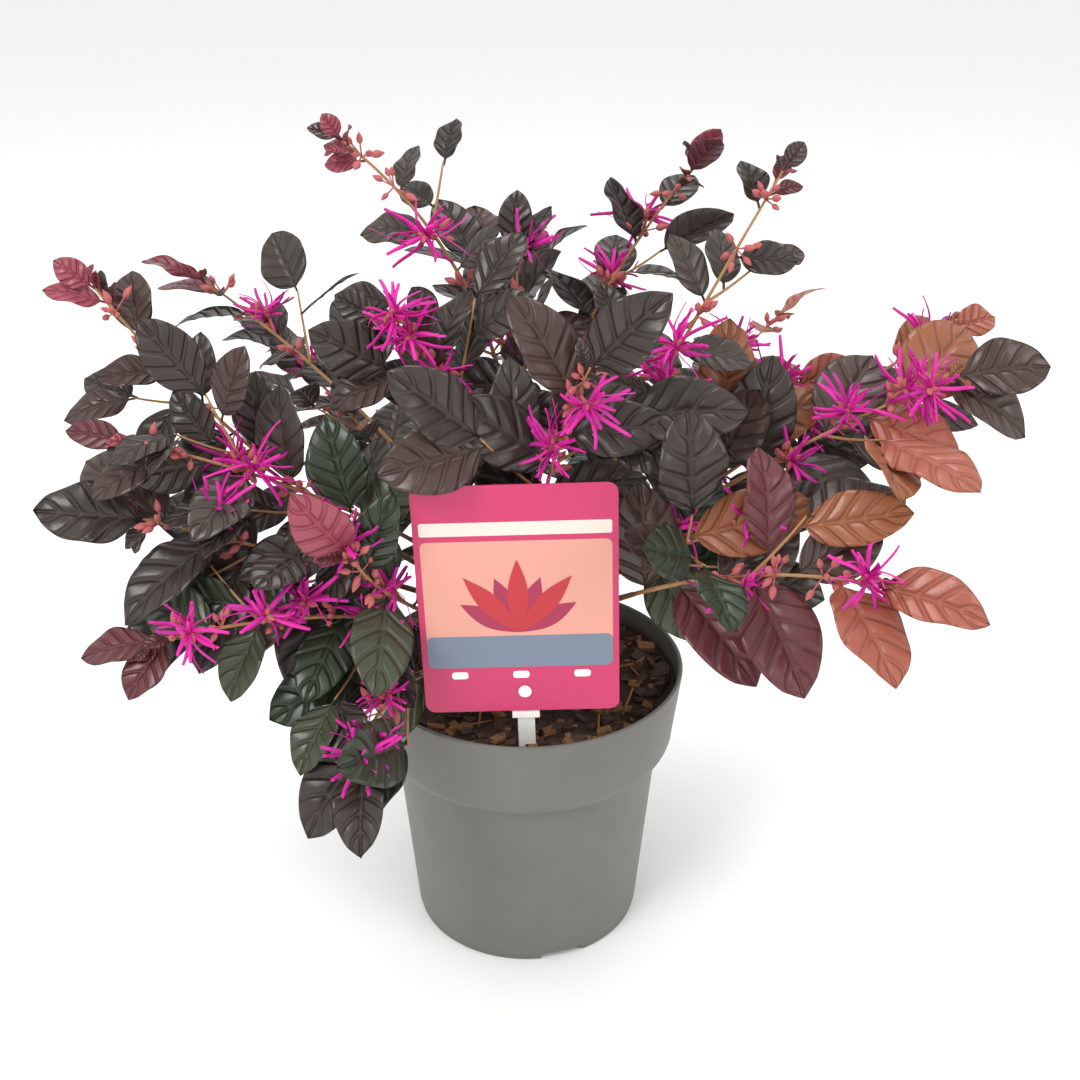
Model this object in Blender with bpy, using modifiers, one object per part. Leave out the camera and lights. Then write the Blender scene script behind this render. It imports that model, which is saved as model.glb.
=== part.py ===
"""Potted Chinese fringe flower: a young loropetalum shrub in its moulded nursery pot.

Metres, +Z up. The origin is on the pot's axis, on the ground. The shrub's best side looks along -Y.
A short leaning trunk stands in the soil. Boughs leave it on all sides, and each bough carries one
mass: a thin stem that grows on from the bough's tip, with side twigs, leaves and blossom.
"""

import math
import random
from collections import namedtuple

import bmesh
import bpy
from mathutils import Matrix, Vector
from mathutils.bvhtree import BVHTree

# Pot, injection moulded, nominal size 17 cm
POT_HEIGHT = 0.155
RIM_RADIUS = 0.085
COLLAR_FOOT_RADIUS = 0.0805
COLLAR_DEPTH = 0.038
STEP_RADIUS = 0.0725
STEP_DEPTH = 0.0475
BASE_RADIUS = 0.0631
POT_WALL = 0.0014
LIP_WALL = 0.0024
LIP_DEPTH = 0.004
LIP_ROUND = 0.0005
DRAFT = 0.001
FLOOR_HEIGHT = 0.0045
FOOT_WIDTH = 0.003
BOSS_RADIUS = 0.012
POT_SEGMENTS = 40
NOTCH_COUNT = 3
NOTCH_ANGLE = math.radians(-71.5)
NOTCH_HEIGHT = 0.004
NOTCH_WIDTH = 0.025
NOTCH_SLANT = 0.16
NOTCH_DEPTH = 0.016
DRAIN_COUNT = 6
DRAIN_RADIUS = 0.005
DRAIN_CIRCLE = 0.040

# Soil and the gap that separate pieces keep
SOIL_LEVEL = 0.145
SOIL_SEGMENTS = 32
GAP = 0.0003

# Plant label: a plastic card held by the button of a white stake
CARD_WIDTH = 0.096
CARD_HEIGHT = 0.125
CARD_THICKNESS = 0.0006
CARD_CORNER = 0.005
CARD_FOOT = Vector((-0.001, -0.069, 0.167))
CARD_LEAN = math.radians(2.2)
CARD_ROLL = math.radians(-1.7)
STAKE_WIDTH = 0.0085
STAKE_THICKNESS = 0.0012
STAKE_DEPTH = 0.045
STAKE_SHIFT = 0.0015
FLANGE_WIDTH = 0.0135
FLANGE_HEIGHT = 0.0035
BUTTON_HEIGHT = 0.012
BUTTON_RADIUS = 0.0033
BUTTON_HOLE = 0.0021
BUTTON_THICKNESS = 0.0010

# Trunk: radius at the root flare, above the flare and at the fork
TRUNK_HEIGHT = 0.060
TRUNK_LEAN = Vector((0.004, 0.003, 0.0))
FLARE_RADIUS = 0.0105
FLARE_HEIGHT = 0.012
TRUNK_RADIUS = 0.0062
FORK_RADIUS = 0.0048

# Boughs and stems
BOUGH_RADIUS = 0.0021
BOUGH_TIP_RADIUS = 0.0014
STEM_RADIUS = 0.0012
STEM_TIP_RADIUS = 0.0006
TWIG_RADIUS = 0.0009
TWIG_TIP_RADIUS = 0.0005
BOUGH_POINTS = 4
STEM_POINTS = 7
TWIG_POINTS = 3
ROOT_LOWEST = 0.016
ROOT_HIGHEST = 0.057
ROOT_STEPS = 16
ROOT_TURNS = (0.0, 0.4, -0.4)
STEEP = 0.93

# Leaves and blossom
LEAF_ASPECT = 0.58
LEAF_THICKNESS = 0.0009
LEAF_STALK = 0.004
LEAF_ARCH = 0.10
SINK = 0.0004
TWIG_LENGTH = 0.055
PETAL_LENGTH = 0.019
PETAL_WIDTH = 0.0022
PETAL_COUNT = 5
SPUR_LENGTH = 0.012
SPUR_RADIUS = 0.0009
HEART_HEIGHT = 0.0016
TIP_SINK = 0.001
TWIG_RISE = 0.12
FIRST_LEAF = 0.008
FIRST_TWIG_LEAF = 0.012
FRONT_BIAS = 0.6
OUT_BIAS = 0.40
DROOP = (0.05, 0.55)
TRIES = 10
CLEARANCE = 0.0004
FLAT_ANGLE = 0.01

# One shoot a line: where its stem is half way and where it ends, its longest leaf, the distance
# between leaves, the share that the youngest leaves are shorter by, how many side twigs it has, where
# along it there is blossom, and the seed of its small differences.
Shoot = namedtuple("Shoot", "name middle tip leaf spacing young twigs blossom seed split",
                   defaults=(0, 0.32))

SHOOTS = (
    Shoot("tall_left", (-0.020, 0.020, 0.335), (-0.086, 0.020, 0.428),
          leaf=0.040, spacing=0.023, young=0.6, twigs=2, blossom=(0.72,), seed=160),
    Shoot("far_left_high", (-0.110, -0.020, 0.265), (-0.200, -0.020, 0.368),
          leaf=0.046, spacing=0.021, young=0.4, twigs=3, blossom=(0.62,), seed=81),
    Shoot("back_left_high", (-0.085, 0.070, 0.265), (-0.175, 0.090, 0.340),
          leaf=0.050, spacing=0.021, young=0.2, twigs=2, blossom=(0.8,), seed=129),
    Shoot("left_middle", (-0.090, -0.030, 0.260), (-0.185, -0.050, 0.303),
          leaf=0.052, spacing=0.020, young=0.3, twigs=2, blossom=(0.72, 0.88), seed=182),
    Shoot("left_low", (-0.095, -0.045, 0.235), (-0.180, -0.060, 0.268),
          leaf=0.064, spacing=0.022, young=0.1, twigs=2, blossom=(0.55,), seed=116),
    Shoot("lower_left", (-0.075, -0.060, 0.215), (-0.170, -0.100, 0.225),
          leaf=0.050, spacing=0.021, young=0.2, twigs=2, blossom=(0.52, 0.66), seed=101),
    Shoot("over_rim", (-0.056, -0.070, 0.184), (-0.075, -0.120, 0.172),
          leaf=0.062, spacing=0.022, young=0.1, twigs=1, blossom=(0.6, 0.8, 0.97), seed=105),
    Shoot("front_left", (-0.055, -0.055, 0.218), (-0.080, -0.085, 0.262),
          leaf=0.060, spacing=0.020, young=0.3, twigs=2, blossom=(0.7,), seed=110),
    Shoot("centre_left", (-0.025, -0.020, 0.300), (-0.068, -0.020, 0.352),
          leaf=0.052, spacing=0.020, young=0.4, twigs=2, blossom=(0.8, 0.96), seed=133),
    Shoot("top_centre", (0.000, 0.010, 0.290), (-0.005, 0.035, 0.370),
          leaf=0.054, spacing=0.020, young=0.3, twigs=2, blossom=(0.95,), seed=183),
    Shoot("front_centre", (0.010, -0.045, 0.275), (0.030, -0.065, 0.345),
          leaf=0.060, spacing=0.020, young=0.2, twigs=2, blossom=(0.7, 0.9), seed=60),
    Shoot("tall_right_inner", (0.020, 0.045, 0.300), (0.084, 0.060, 0.406),
          leaf=0.052, spacing=0.022, young=0.4, twigs=2, blossom=(0.7, 0.85), seed=33),
    Shoot("tall_right", (0.055, -0.015, 0.300), (0.120, 0.000, 0.418),
          leaf=0.044, spacing=0.025, young=0.5, twigs=2, blossom=(0.66, 0.58), seed=1),
    Shoot("right_middle", (0.075, 0.015, 0.255), (0.140, 0.030, 0.300),
          leaf=0.052, spacing=0.020, young=0.3, twigs=2, blossom=(0.6, 0.8), seed=119),
    Shoot("right_high", (0.120, 0.025, 0.265), (0.220, 0.040, 0.328),
          leaf=0.048, spacing=0.021, young=0.3, twigs=2, blossom=(0.7, 0.9), seed=193),
    Shoot("right", (0.105, -0.020, 0.270), (0.208, -0.020, 0.325),
          leaf=0.062, spacing=0.021, young=0.1, twigs=2, blossom=(0.75, 0.92), seed=147),
    Shoot("low_right", (0.080, -0.070, 0.240), (0.155, -0.115, 0.262),
          leaf=0.062, spacing=0.021, young=0.1, twigs=2, blossom=(0.95,), seed=119),
    Shoot("front_right", (0.062, -0.045, 0.240), (0.112, -0.070, 0.270),
          leaf=0.058, spacing=0.020, young=0.3, twigs=2, blossom=(0.5, 0.7), seed=73),
    Shoot("back_left", (-0.075, 0.085, 0.235), (-0.150, 0.150, 0.285),
          leaf=0.052, spacing=0.022, young=0.3, twigs=2, blossom=(0.8,), seed=63),
    Shoot("back", (-0.010, 0.095, 0.265), (-0.025, 0.185, 0.335),
          leaf=0.052, spacing=0.022, young=0.3, twigs=2, blossom=(0.8,), seed=63),
    Shoot("back_right", (0.075, 0.090, 0.245), (0.150, 0.155, 0.300),
          leaf=0.052, spacing=0.022, young=0.3, twigs=2, blossom=(0.8,), seed=27),
    Shoot("back_low_left", (-0.055, 0.080, 0.200), (-0.090, 0.175, 0.215),
          leaf=0.054, spacing=0.022, young=0.2, twigs=2, blossom=(0.9,), seed=153),
    Shoot("back_low_right", (0.060, 0.080, 0.200), (0.105, 0.165, 0.225),
          leaf=0.054, spacing=0.022, young=0.2, twigs=2, blossom=(0.9,), seed=133),
)

COLOURS = {
    "pot_grey": ((0.165, 0.162, 0.145), 0.55),
    "potting_soil": ((0.055, 0.030, 0.018), 0.95),
    "card_pink": ((0.80, 0.05, 0.20), 0.35),
    "stake_white": ((0.85, 0.85, 0.84), 0.40),
    "bark_brown": ((0.24, 0.13, 0.06), 0.80),
    "leaf_bronze": ((0.075, 0.060, 0.055), 0.45),
    "petal_magenta": ((0.70, 0.01, 0.38), 0.55),
}
LEAF_SLOT = 0
BARK_SLOT = 1
PETAL_SLOT = 2


def clear_scene():
    for old in list(bpy.data.objects):
        bpy.data.objects.remove(old, do_unlink=True)


def new_collection(name):
    collection = bpy.data.collections.new(name)
    bpy.context.scene.collection.children.link(collection)
    return collection


def material(name):
    found = bpy.data.materials.get(name)
    if found:
        return found
    colour, roughness = COLOURS[name]
    made = bpy.data.materials.new(name)
    made.use_nodes = True
    shader = made.node_tree.nodes["Principled BSDF"]
    shader.inputs["Base Color"].default_value = (*colour, 1.0)
    shader.inputs["Roughness"].default_value = roughness
    shader.inputs["Metallic"].default_value = 0.0
    made.diffuse_color = (*colour, 1.0)
    return made


def add_object(name, data, collection, *materials):
    made = bpy.data.objects.new(name, data)
    for entry in materials:
        data.materials.append(material(entry))
    collection.objects.link(made)
    return made


def mesh_from(name, points, faces, slot=0):
    mesh = bpy.data.meshes.new(name)
    mesh.from_pydata([tuple(p) for p in points], [], faces)
    for polygon in mesh.polygons:
        polygon.material_index = slot
    return mesh


def turned(name, profile, segments, collection, colour):
    """A turned piece: the profile runs down its outer side at +X, and closes on the axis or on itself."""
    mesh = bpy.data.meshes.new(name)
    closed = profile[0][0] > 0.0
    edges = [(i, i + 1) for i in range(len(profile) - 1)]
    if closed:
        edges.append((len(profile) - 1, 0))
    mesh.from_pydata([(r, 0.0, z) for r, z in profile], edges, [])
    made = add_object(name, mesh, collection, colour)
    screw = made.modifiers.new("turn", "SCREW")
    screw.axis = "Z"
    screw.angle = math.tau
    screw.steps = segments
    screw.render_steps = segments
    screw.use_merge_vertices = True
    screw.merge_threshold = 0.00005
    screw.use_smooth_shade = True
    return made


def cut(target, cutter, collection):
    cutter.hide_render = True
    cutter.display_type = "WIRE"
    collection.objects.link(cutter)
    modifier = target.modifiers.new("cut_" + cutter.name, "BOOLEAN")
    modifier.operation = "DIFFERENCE"
    modifier.object = cutter
    modifier.solver = "EXACT"


def cutter_from(name, shapes):
    """One cutter object from closed shapes, each a function that adds itself to a bmesh."""
    mesh = bpy.data.meshes.new(name)
    form = bmesh.new()
    for shape in shapes:
        shape(form)
    form.to_mesh(mesh)
    form.free()
    return bpy.data.objects.new(name, mesh)


def inner_radius(height):
    """The pot's inner radius at a height above the ground."""
    step_height = POT_HEIGHT - STEP_DEPTH
    collar_height = POT_HEIGHT - COLLAR_DEPTH
    if height < step_height:
        share = height / step_height
        return BASE_RADIUS + (STEP_RADIUS - BASE_RADIUS) * share - POT_WALL
    if height < collar_height:
        share = (height - step_height) / (collar_height - step_height)
        return STEP_RADIUS + (COLLAR_FOOT_RADIUS - STEP_RADIUS) * share - POT_WALL
    share = (height - collar_height) / (POT_HEIGHT - collar_height)
    return COLLAR_FOOT_RADIUS + (RIM_RADIUS - COLLAR_FOOT_RADIUS) * share - POT_WALL


def make_pot(parts, cutters):
    """Thin-walled pot with a deep collar, a rounded step, a notched foot ring and a gate boss."""
    step = POT_HEIGHT - STEP_DEPTH
    collar = POT_HEIGHT - COLLAR_DEPTH
    lip = POT_HEIGHT - LIP_DEPTH
    slope = (RIM_RADIUS - COLLAR_FOOT_RADIUS) / COLLAR_DEPTH
    lip_radius = RIM_RADIUS - slope * LIP_DEPTH
    rounding = []
    for i in range(4):
        turn = math.radians(90.0) * i / 3
        rounding.append((STEP_RADIUS + (COLLAR_FOOT_RADIUS - STEP_RADIUS) * math.cos(turn),
                         collar + (step - collar) * math.sin(turn)))
    floor_radius = inner_radius(FLOOR_HEIGHT + POT_WALL)
    profile = [(RIM_RADIUS - LIP_ROUND, POT_HEIGHT), (RIM_RADIUS, POT_HEIGHT - LIP_ROUND)]
    profile += rounding
    profile += [(BASE_RADIUS, 0.0),
                (BASE_RADIUS - FOOT_WIDTH, 0.0),
                (BASE_RADIUS - FOOT_WIDTH - DRAFT, FLOOR_HEIGHT),
                (BOSS_RADIUS + DRAFT, FLOOR_HEIGHT),
                (BOSS_RADIUS, 0.0),
                (0.0, 0.0)]
    inside = [(0.0, FLOOR_HEIGHT + POT_WALL),
              (floor_radius, FLOOR_HEIGHT + POT_WALL),
              (inner_radius(step), step),
              (inner_radius(collar), collar),
              (lip_radius - LIP_WALL, lip),
              (RIM_RADIUS - LIP_WALL, POT_HEIGHT - LIP_ROUND),
              (RIM_RADIUS - LIP_WALL + LIP_ROUND, POT_HEIGHT)]
    ring = profile + inside
    start = ring.index((0.0, FLOOR_HEIGHT + POT_WALL))
    pot = turned("pot", ring[start:] + ring[:start], POT_SEGMENTS, parts, "pot_grey")

    def notch(angle):
        def shape(form):
            place = Matrix.Rotation(angle, 4, "Z") @ Matrix.Translation((BASE_RADIUS, 0.0, 0.0))
            made = bmesh.ops.create_cube(form, size=1.0)["verts"]
            for corner in made:
                high = corner.co.z > 0.0
                width = NOTCH_WIDTH * (1.0 - NOTCH_SLANT if high else 1.0 + NOTCH_SLANT)
                height = NOTCH_HEIGHT if high else -NOTCH_HEIGHT
                local = Vector((corner.co.x * NOTCH_DEPTH, corner.co.y * width, height))
                corner.co = place @ local
        return shape

    def drain(angle):
        def shape(form):
            place = Matrix.Rotation(angle, 4, "Z") @ Matrix.Translation(
                (DRAIN_CIRCLE, 0.0, FLOOR_HEIGHT + POT_WALL / 2))
            bmesh.ops.create_cone(form, cap_ends=True, segments=12, radius1=DRAIN_RADIUS,
                                  radius2=DRAIN_RADIUS, depth=POT_WALL * 4, matrix=place)
        return shape

    shapes = [notch(NOTCH_ANGLE + math.tau * i / NOTCH_COUNT) for i in range(NOTCH_COUNT)]
    shapes += [drain(math.tau * (i + 0.5) / DRAIN_COUNT) for i in range(DRAIN_COUNT)]
    cut(pot, cutter_from("pot_cuts", shapes), cutters)
    return pot


def card_matrix():
    """Where the card stands: x across, y through it to the back, z up, from its bottom edge's middle."""
    return (Matrix.Translation(CARD_FOOT) @ Matrix.Rotation(CARD_LEAN, 4, "X")
            @ Matrix.Rotation(CARD_ROLL, 4, "Y"))


def box_shape(low, high, place):
    def shape(form):
        size = Vector(high) - Vector(low)
        centre = (Vector(high) + Vector(low)) / 2
        move = place @ Matrix.Translation(centre) @ Matrix.Diagonal((*size, 1.0))
        bmesh.ops.create_cube(form, size=1.0, matrix=move)
    return shape


def make_soil(parts, cutters):
    """The root ball that fills the pot, with a slot where the label's stake goes in."""
    step = POT_HEIGHT - STEP_DEPTH
    collar = POT_HEIGHT - COLLAR_DEPTH
    floor = FLOOR_HEIGHT + POT_WALL + GAP
    profile = [(0.0, SOIL_LEVEL),
               (inner_radius(SOIL_LEVEL) - GAP - LIP_WALL + POT_WALL, SOIL_LEVEL - 0.001),
               (inner_radius(collar) - GAP * 2, collar),
               (inner_radius(step) - GAP * 2, step),
               (inner_radius(floor) - GAP * 2, floor),
               (0.0, floor)]
    soil = turned("soil", profile, SOIL_SEGMENTS, parts, "potting_soil")
    margin = GAP + 0.0001
    slot = box_shape((STAKE_SHIFT - STAKE_WIDTH / 2 - margin, CARD_THICKNESS, -STAKE_DEPTH - 0.026),
                     (STAKE_SHIFT + STAKE_WIDTH / 2 + margin,
                      CARD_THICKNESS + STAKE_THICKNESS + margin * 2, 0.0), card_matrix())
    cut(soil, cutter_from("stake_slot", [slot]), cutters)
    return soil


def make_card(parts, cutters):
    """The printed card: a thin plate with round corners and a hole for the stake's button."""
    outline = bpy.data.curves.new("label_card", "CURVE")
    outline.dimensions = "2D"
    outline.fill_mode = "BOTH"
    outline.extrude = CARD_THICKNESS / 2

    def ring(points):
        spline = outline.splines.new("POLY")
        spline.points.add(len(points) - 1)
        spline.use_cyclic_u = True
        for point, (x, y) in zip(spline.points, points):
            point.co = (x, y, 0.0, 1.0)

    corners = []
    for i in range(4):
        middle_x = (CARD_WIDTH / 2 - CARD_CORNER) * (1, -1, -1, 1)[i]
        middle_y = CARD_HEIGHT / 2 + (CARD_HEIGHT / 2 - CARD_CORNER) * (1, 1, -1, -1)[i]
        for j in range(5):
            turn = math.radians(90.0) * (i + j / 4)
            corners.append((middle_x + CARD_CORNER * math.cos(turn),
                            middle_y + CARD_CORNER * math.sin(turn)))
    ring(corners)
    ring([(STAKE_SHIFT + BUTTON_HOLE * math.cos(math.tau * i / 12),
           BUTTON_HEIGHT + BUTTON_HOLE * math.sin(math.tau * i / 12)) for i in range(12)])
    card = add_object("label_card", outline, parts, "card_pink")
    card.matrix_world = card_matrix() @ Matrix.Rotation(math.radians(90.0), 4, "X")
    return card


def make_stake(parts):
    """The white stake: a strip into the soil, a flange under the card, and a button through it."""
    back = CARD_THICKNESS / 2 + GAP
    rear = back + STAKE_THICKNESS
    front = -CARD_THICKNESS / 2 - GAP
    place = card_matrix()

    def strip(form):
        box_shape((STAKE_SHIFT - STAKE_WIDTH / 2, back, -STAKE_DEPTH - 0.025),
                  (STAKE_SHIFT + STAKE_WIDTH / 2, rear, BUTTON_HEIGHT + 0.006), place)(form)

    def flange(form):
        box_shape((STAKE_SHIFT - FLANGE_WIDTH / 2, front - 0.0006, -FLANGE_HEIGHT - GAP),
                  (STAKE_SHIFT + FLANGE_WIDTH / 2, rear - 0.0002, -GAP), place)(form)

    def pin(radius, start, end):
        def shape(form):
            middle = Vector((STAKE_SHIFT, (start + end) / 2, BUTTON_HEIGHT))
            turn = place @ Matrix.Translation(middle) @ Matrix.Rotation(math.radians(90.0), 4, "X")
            bmesh.ops.create_cone(form, cap_ends=True, segments=12, radius1=radius, radius2=radius,
                                  depth=end - start, matrix=turn)
        return shape

    shapes = {"strip": strip, "flange": flange,
              "pin": pin(BUTTON_HOLE - GAP, front - 0.0002, rear - 0.0003),
              "button": pin(BUTTON_RADIUS, front - BUTTON_THICKNESS, front)}
    bodies = [mesh_of_shape(name, shape) for name, shape in shapes.items()]
    return join("label_stake", bodies, parts, "stake_white")


def mesh_of_shape(name, shape):
    mesh = bpy.data.meshes.new(name)
    form = bmesh.new()
    shape(form)
    bmesh.ops.recalc_face_normals(form, faces=form.faces)
    form.to_mesh(mesh)
    form.free()
    return mesh


def join(name, meshes, parts, *materials):
    """One closed body from overlapping closed meshes, by a Boolean union on a collection."""
    base = add_object(name, meshes[0], parts, *materials)
    group = new_collection(name + "_union")
    for i, mesh in enumerate(meshes[1:]):
        for entry in materials:
            mesh.materials.append(material(entry))
        group.objects.link(bpy.data.objects.new("%s_piece_%d" % (name, i), mesh))
    for solver in ("EXACT", "MANIFOLD"):
        modifier = base.modifiers.new("union", "BOOLEAN")
        modifier.operation = "UNION"
        modifier.operand_type = "COLLECTION"
        modifier.collection = group
        modifier.solver = solver
        evaluated = base.evaluated_get(bpy.context.evaluated_depsgraph_get())
        joined = bpy.data.meshes.new_from_object(evaluated)
        base.modifiers.clear()
        sound = keep_main_body(joined)
        if sound:
            break
    base.data = joined
    joined.name = name
    for old in list(group.objects):
        bpy.data.objects.remove(old, do_unlink=True)
    bpy.data.collections.remove(group)
    return base


def is_closed(form):
    return all(len(edge.link_faces) == 2 for edge in form.edges)


def keep_main_body(mesh):
    """Drop loose scraps and the skins of sealed hollows. True where one closed body is left."""
    form = bmesh.new()
    form.from_mesh(mesh)
    islands = []
    waiting = set(form.faces)
    while waiting:
        island = [waiting.pop()]
        for face in island:
            for edge in face.edges:
                for other in edge.link_faces:
                    if other in waiting:
                        waiting.discard(other)
                        island.append(other)
        islands.append(island)
    islands.sort(key=len, reverse=True)
    spare = [face for island in islands[1:] for face in island]
    bmesh.ops.delete(form, geom=spare, context="FACES")
    loose = [vert for vert in form.verts if not vert.link_faces]
    bmesh.ops.delete(form, geom=loose, context="VERTS")
    sound = is_closed(form)
    lean = form.copy()
    bmesh.ops.dissolve_limit(lean, angle_limit=FLAT_ANGLE, verts=lean.verts, edges=lean.edges)
    bmesh.ops.triangulate(lean, faces=lean.faces)
    if is_closed(lean):
        lean.to_mesh(mesh)
    else:
        form.to_mesh(mesh)
    form.free()
    lean.free()
    return sound


def tube(name, points, radii, resolution, collection, colour):
    """A tapering limb: a curve with a round section and filled ends, made a mesh with welded caps."""
    curve = bpy.data.curves.new(name, "CURVE")
    curve.dimensions = "3D"
    curve.bevel_depth = 1.0
    curve.bevel_resolution = resolution
    curve.use_fill_caps = True
    curve.twist_mode = "MINIMUM"
    spline = curve.splines.new("POLY")
    spline.points.add(len(points) - 1)
    for point, place, radius in zip(spline.points, points, radii):
        point.co = (*place, 1.0)
        point.radius = radius
    guide = bpy.data.objects.new(name + "_guide", curve)
    collection.objects.link(guide)
    evaluated = guide.evaluated_get(bpy.context.evaluated_depsgraph_get())
    mesh = bpy.data.meshes.new_from_object(evaluated)
    bpy.data.objects.remove(guide, do_unlink=True)
    bpy.data.curves.remove(curve)
    form = bmesh.new()
    form.from_mesh(mesh)
    bmesh.ops.remove_doubles(form, verts=form.verts, dist=0.00001)
    bmesh.ops.recalc_face_normals(form, faces=form.faces)
    form.to_mesh(mesh)
    form.free()
    mesh.materials.clear()
    mesh.name = name
    made = add_object(name, mesh, collection, colour)
    mesh.shade_smooth()
    return made


def trunk_axis(height):
    share = height / TRUNK_HEIGHT
    return Vector((TRUNK_LEAN.x * share ** 1.5, TRUNK_LEAN.y * share ** 1.5, SOIL_LEVEL + GAP + height))


def trunk_radius(height):
    if height < FLARE_HEIGHT:
        return TRUNK_RADIUS + (FLARE_RADIUS - TRUNK_RADIUS) * (1.0 - height / FLARE_HEIGHT) ** 2
    share = (height - FLARE_HEIGHT) / (TRUNK_HEIGHT - FLARE_HEIGHT)
    return TRUNK_RADIUS + (FORK_RADIUS - TRUNK_RADIUS) * share


def make_trunk(parts):
    """The short main stem: a flat cut on the soil, a root flare, a slight lean and a true taper."""
    heights = [FLARE_HEIGHT * i / 4 for i in range(4)]
    heights += [FLARE_HEIGHT + (TRUNK_HEIGHT - FLARE_HEIGHT) * i / 4 for i in range(5)]
    points = [trunk_axis(h) for h in heights]
    return tube("trunk", points, [trunk_radius(h) for h in heights], 4, parts, "bark_brown")


def parabola(start, middle, end, share):
    """A smooth arc that starts, passes its middle and ends at three given places."""
    pull = middle * 2.0 - (start + end) / 2.0
    rest = 1.0 - share
    return start * rest * rest + pull * (2.0 * share * rest) + end * (share * share)


def shoot_root(shoot, height, turn=0.0):
    """Where a bough leaves the trunk: on the side that it grows to, or on top if it is steep."""
    axis = trunk_axis(height)
    middle = Vector(shoot.middle)
    outward = Vector((middle.x - axis.x, middle.y - axis.y, 0.0)).normalized()
    outward.rotate(Matrix.Rotation(turn, 3, "Z"))
    rise = max((middle - axis).normalized().z, 0.0)
    level = math.sqrt(1.0 - rise * rise)
    if height >= TRUNK_HEIGHT:
        rise_clear = Vector((0.0, 0.0, GAP + BOUGH_RADIUS * level))
        return axis + outward * (BOUGH_RADIUS + GAP * 2) + rise_clear
    reach = trunk_radius(height) + GAP + BOUGH_RADIUS * rise
    return axis + outward * reach


def path(shoot, root, first, last, count):
    middle = Vector(shoot.middle)
    tip = Vector(shoot.tip)
    return [parabola(root, middle, tip, first + (last - first) * i / (count - 1)) for i in range(count)]


def apart(points, others, distance):
    """True where two lines of points keep a distance."""
    for a, b in zip(points, points[1:]):
        for step in range(4):
            place = a.lerp(b, step / 4)
            for c, d in others:
                along = d - c
                share = max(0.0, min(1.0, (place - c).dot(along) / along.length_squared))
                if (place - c - along * share).length < distance:
                    return False
    return True


def choose_roots():
    """Give each bough the first place on the trunk from which it passes clear of the others."""
    roots = {}
    taken = []
    sides = [ROOT_LOWEST + (ROOT_HIGHEST - ROOT_LOWEST) * i / ROOT_STEPS for i in range(ROOT_STEPS + 1)]
    for shoot in sorted(SHOOTS, key=lambda s: -steepness(s)):
        if steepness(shoot) > STEEP:
            heights = [TRUNK_HEIGHT] + sides[::-1]
        else:
            wished = ROOT_LOWEST + (ROOT_HIGHEST - ROOT_LOWEST) * steepness(shoot)
            heights = sorted(sides, key=lambda height: abs(height - wished))
        for turn, height in ((turn, height) for turn in ROOT_TURNS for height in heights):
            root = shoot_root(shoot, height, turn)
            line = path(shoot, root, 0.0, 1.0, 24)
            if apart(line, taken, BOUGH_RADIUS * 2 + GAP * 2):
                break
        else:
            raise ValueError("no clear root for " + shoot.name)
        roots[shoot.name] = root
        taken += list(zip(line, line[1:]))
    return roots


def steepness(shoot):
    """How steeply a shoot sets off: 0 is level, 1 is upright."""
    return max((Vector(shoot.middle) - trunk_axis(TRUNK_HEIGHT / 2)).normalized().z, 0.0)


def loft(rings, root=None, tip=None):
    """Points and faces of a closed skin through rings of three, pointed where an end is given."""
    points = [point for ring in rings for point in ring]
    faces = []
    if root is None:
        faces.append((2, 1, 0))
    else:
        points.append(root)
        for j in range(3):
            faces.append(((j + 1) % 3, j, len(points) - 1))
    for i in range(len(rings) - 1):
        for j in range(3):
            a = i * 3 + j
            b = i * 3 + (j + 1) % 3
            faces.append((a, b, b + 3))
            faces.append((a, b + 3, a + 3))
    last = (len(rings) - 1) * 3
    if tip is None:
        faces.append((last, last + 1, last + 2))
    else:
        points.append(tip)
        for j in range(3):
            faces.append((last + j, last + (j + 1) % 3, len(points) - 1))
    return points, faces


def three_sided(points, radii):
    """A three-sided twig through points, with its rings square to it."""
    rings = []
    side = None
    for i, point in enumerate(points):
        ahead = points[min(i + 1, len(points) - 1)] - points[max(i - 1, 0)]
        ahead.normalize()
        if side is None:
            side = ahead.orthogonal().normalized()
        side = (side - ahead * side.dot(ahead)).normalized()
        other = ahead.cross(side)
        ring = []
        for j in range(3):
            turn = math.tau * j / 3
            ring.append(point + (side * math.cos(turn) + other * math.sin(turn)) * radii[i])
        rings.append(ring)
    return loft(rings)


Leaf = namedtuple("Leaf", "base axis across normal length width")


def leaf_form(leaf, extra=0.0):
    """A leaf blade of three sides: flat on top, keeled below along its midrib, arched to its tip."""
    def midrib(share):
        fall = leaf.length * LEAF_ARCH * share * share
        return leaf.base + leaf.axis * (leaf.length * share) - leaf.normal * fall

    def section(share, keel_share, half):
        top = midrib(share) + leaf.normal * extra
        side = leaf.across * (half + extra)
        return [top - side, top + side,
                midrib(keel_share) - leaf.normal * (LEAF_THICKNESS + extra)]

    half = leaf.width / 2
    rings = [section(0.30, 0.14, half * 0.93), section(0.70, 0.70, half * 0.86)]
    root = leaf.base - leaf.axis * SINK
    tip = midrib(1.0) + leaf.axis * extra
    return loft(rings, root, tip)


def facing(shoot):
    """The way a shoot's leaves look: up, and out to the light on their own side of the shrub."""
    outward = Vector((shoot.tip[0], shoot.tip[1], 0.0))
    outward.normalize()
    front = FRONT_BIAS if shoot.tip[1] < 0.05 else 0.0
    return Vector((outward.x * OUT_BIAS, outward.y * OUT_BIAS - front, 0.80)).normalized()


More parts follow.
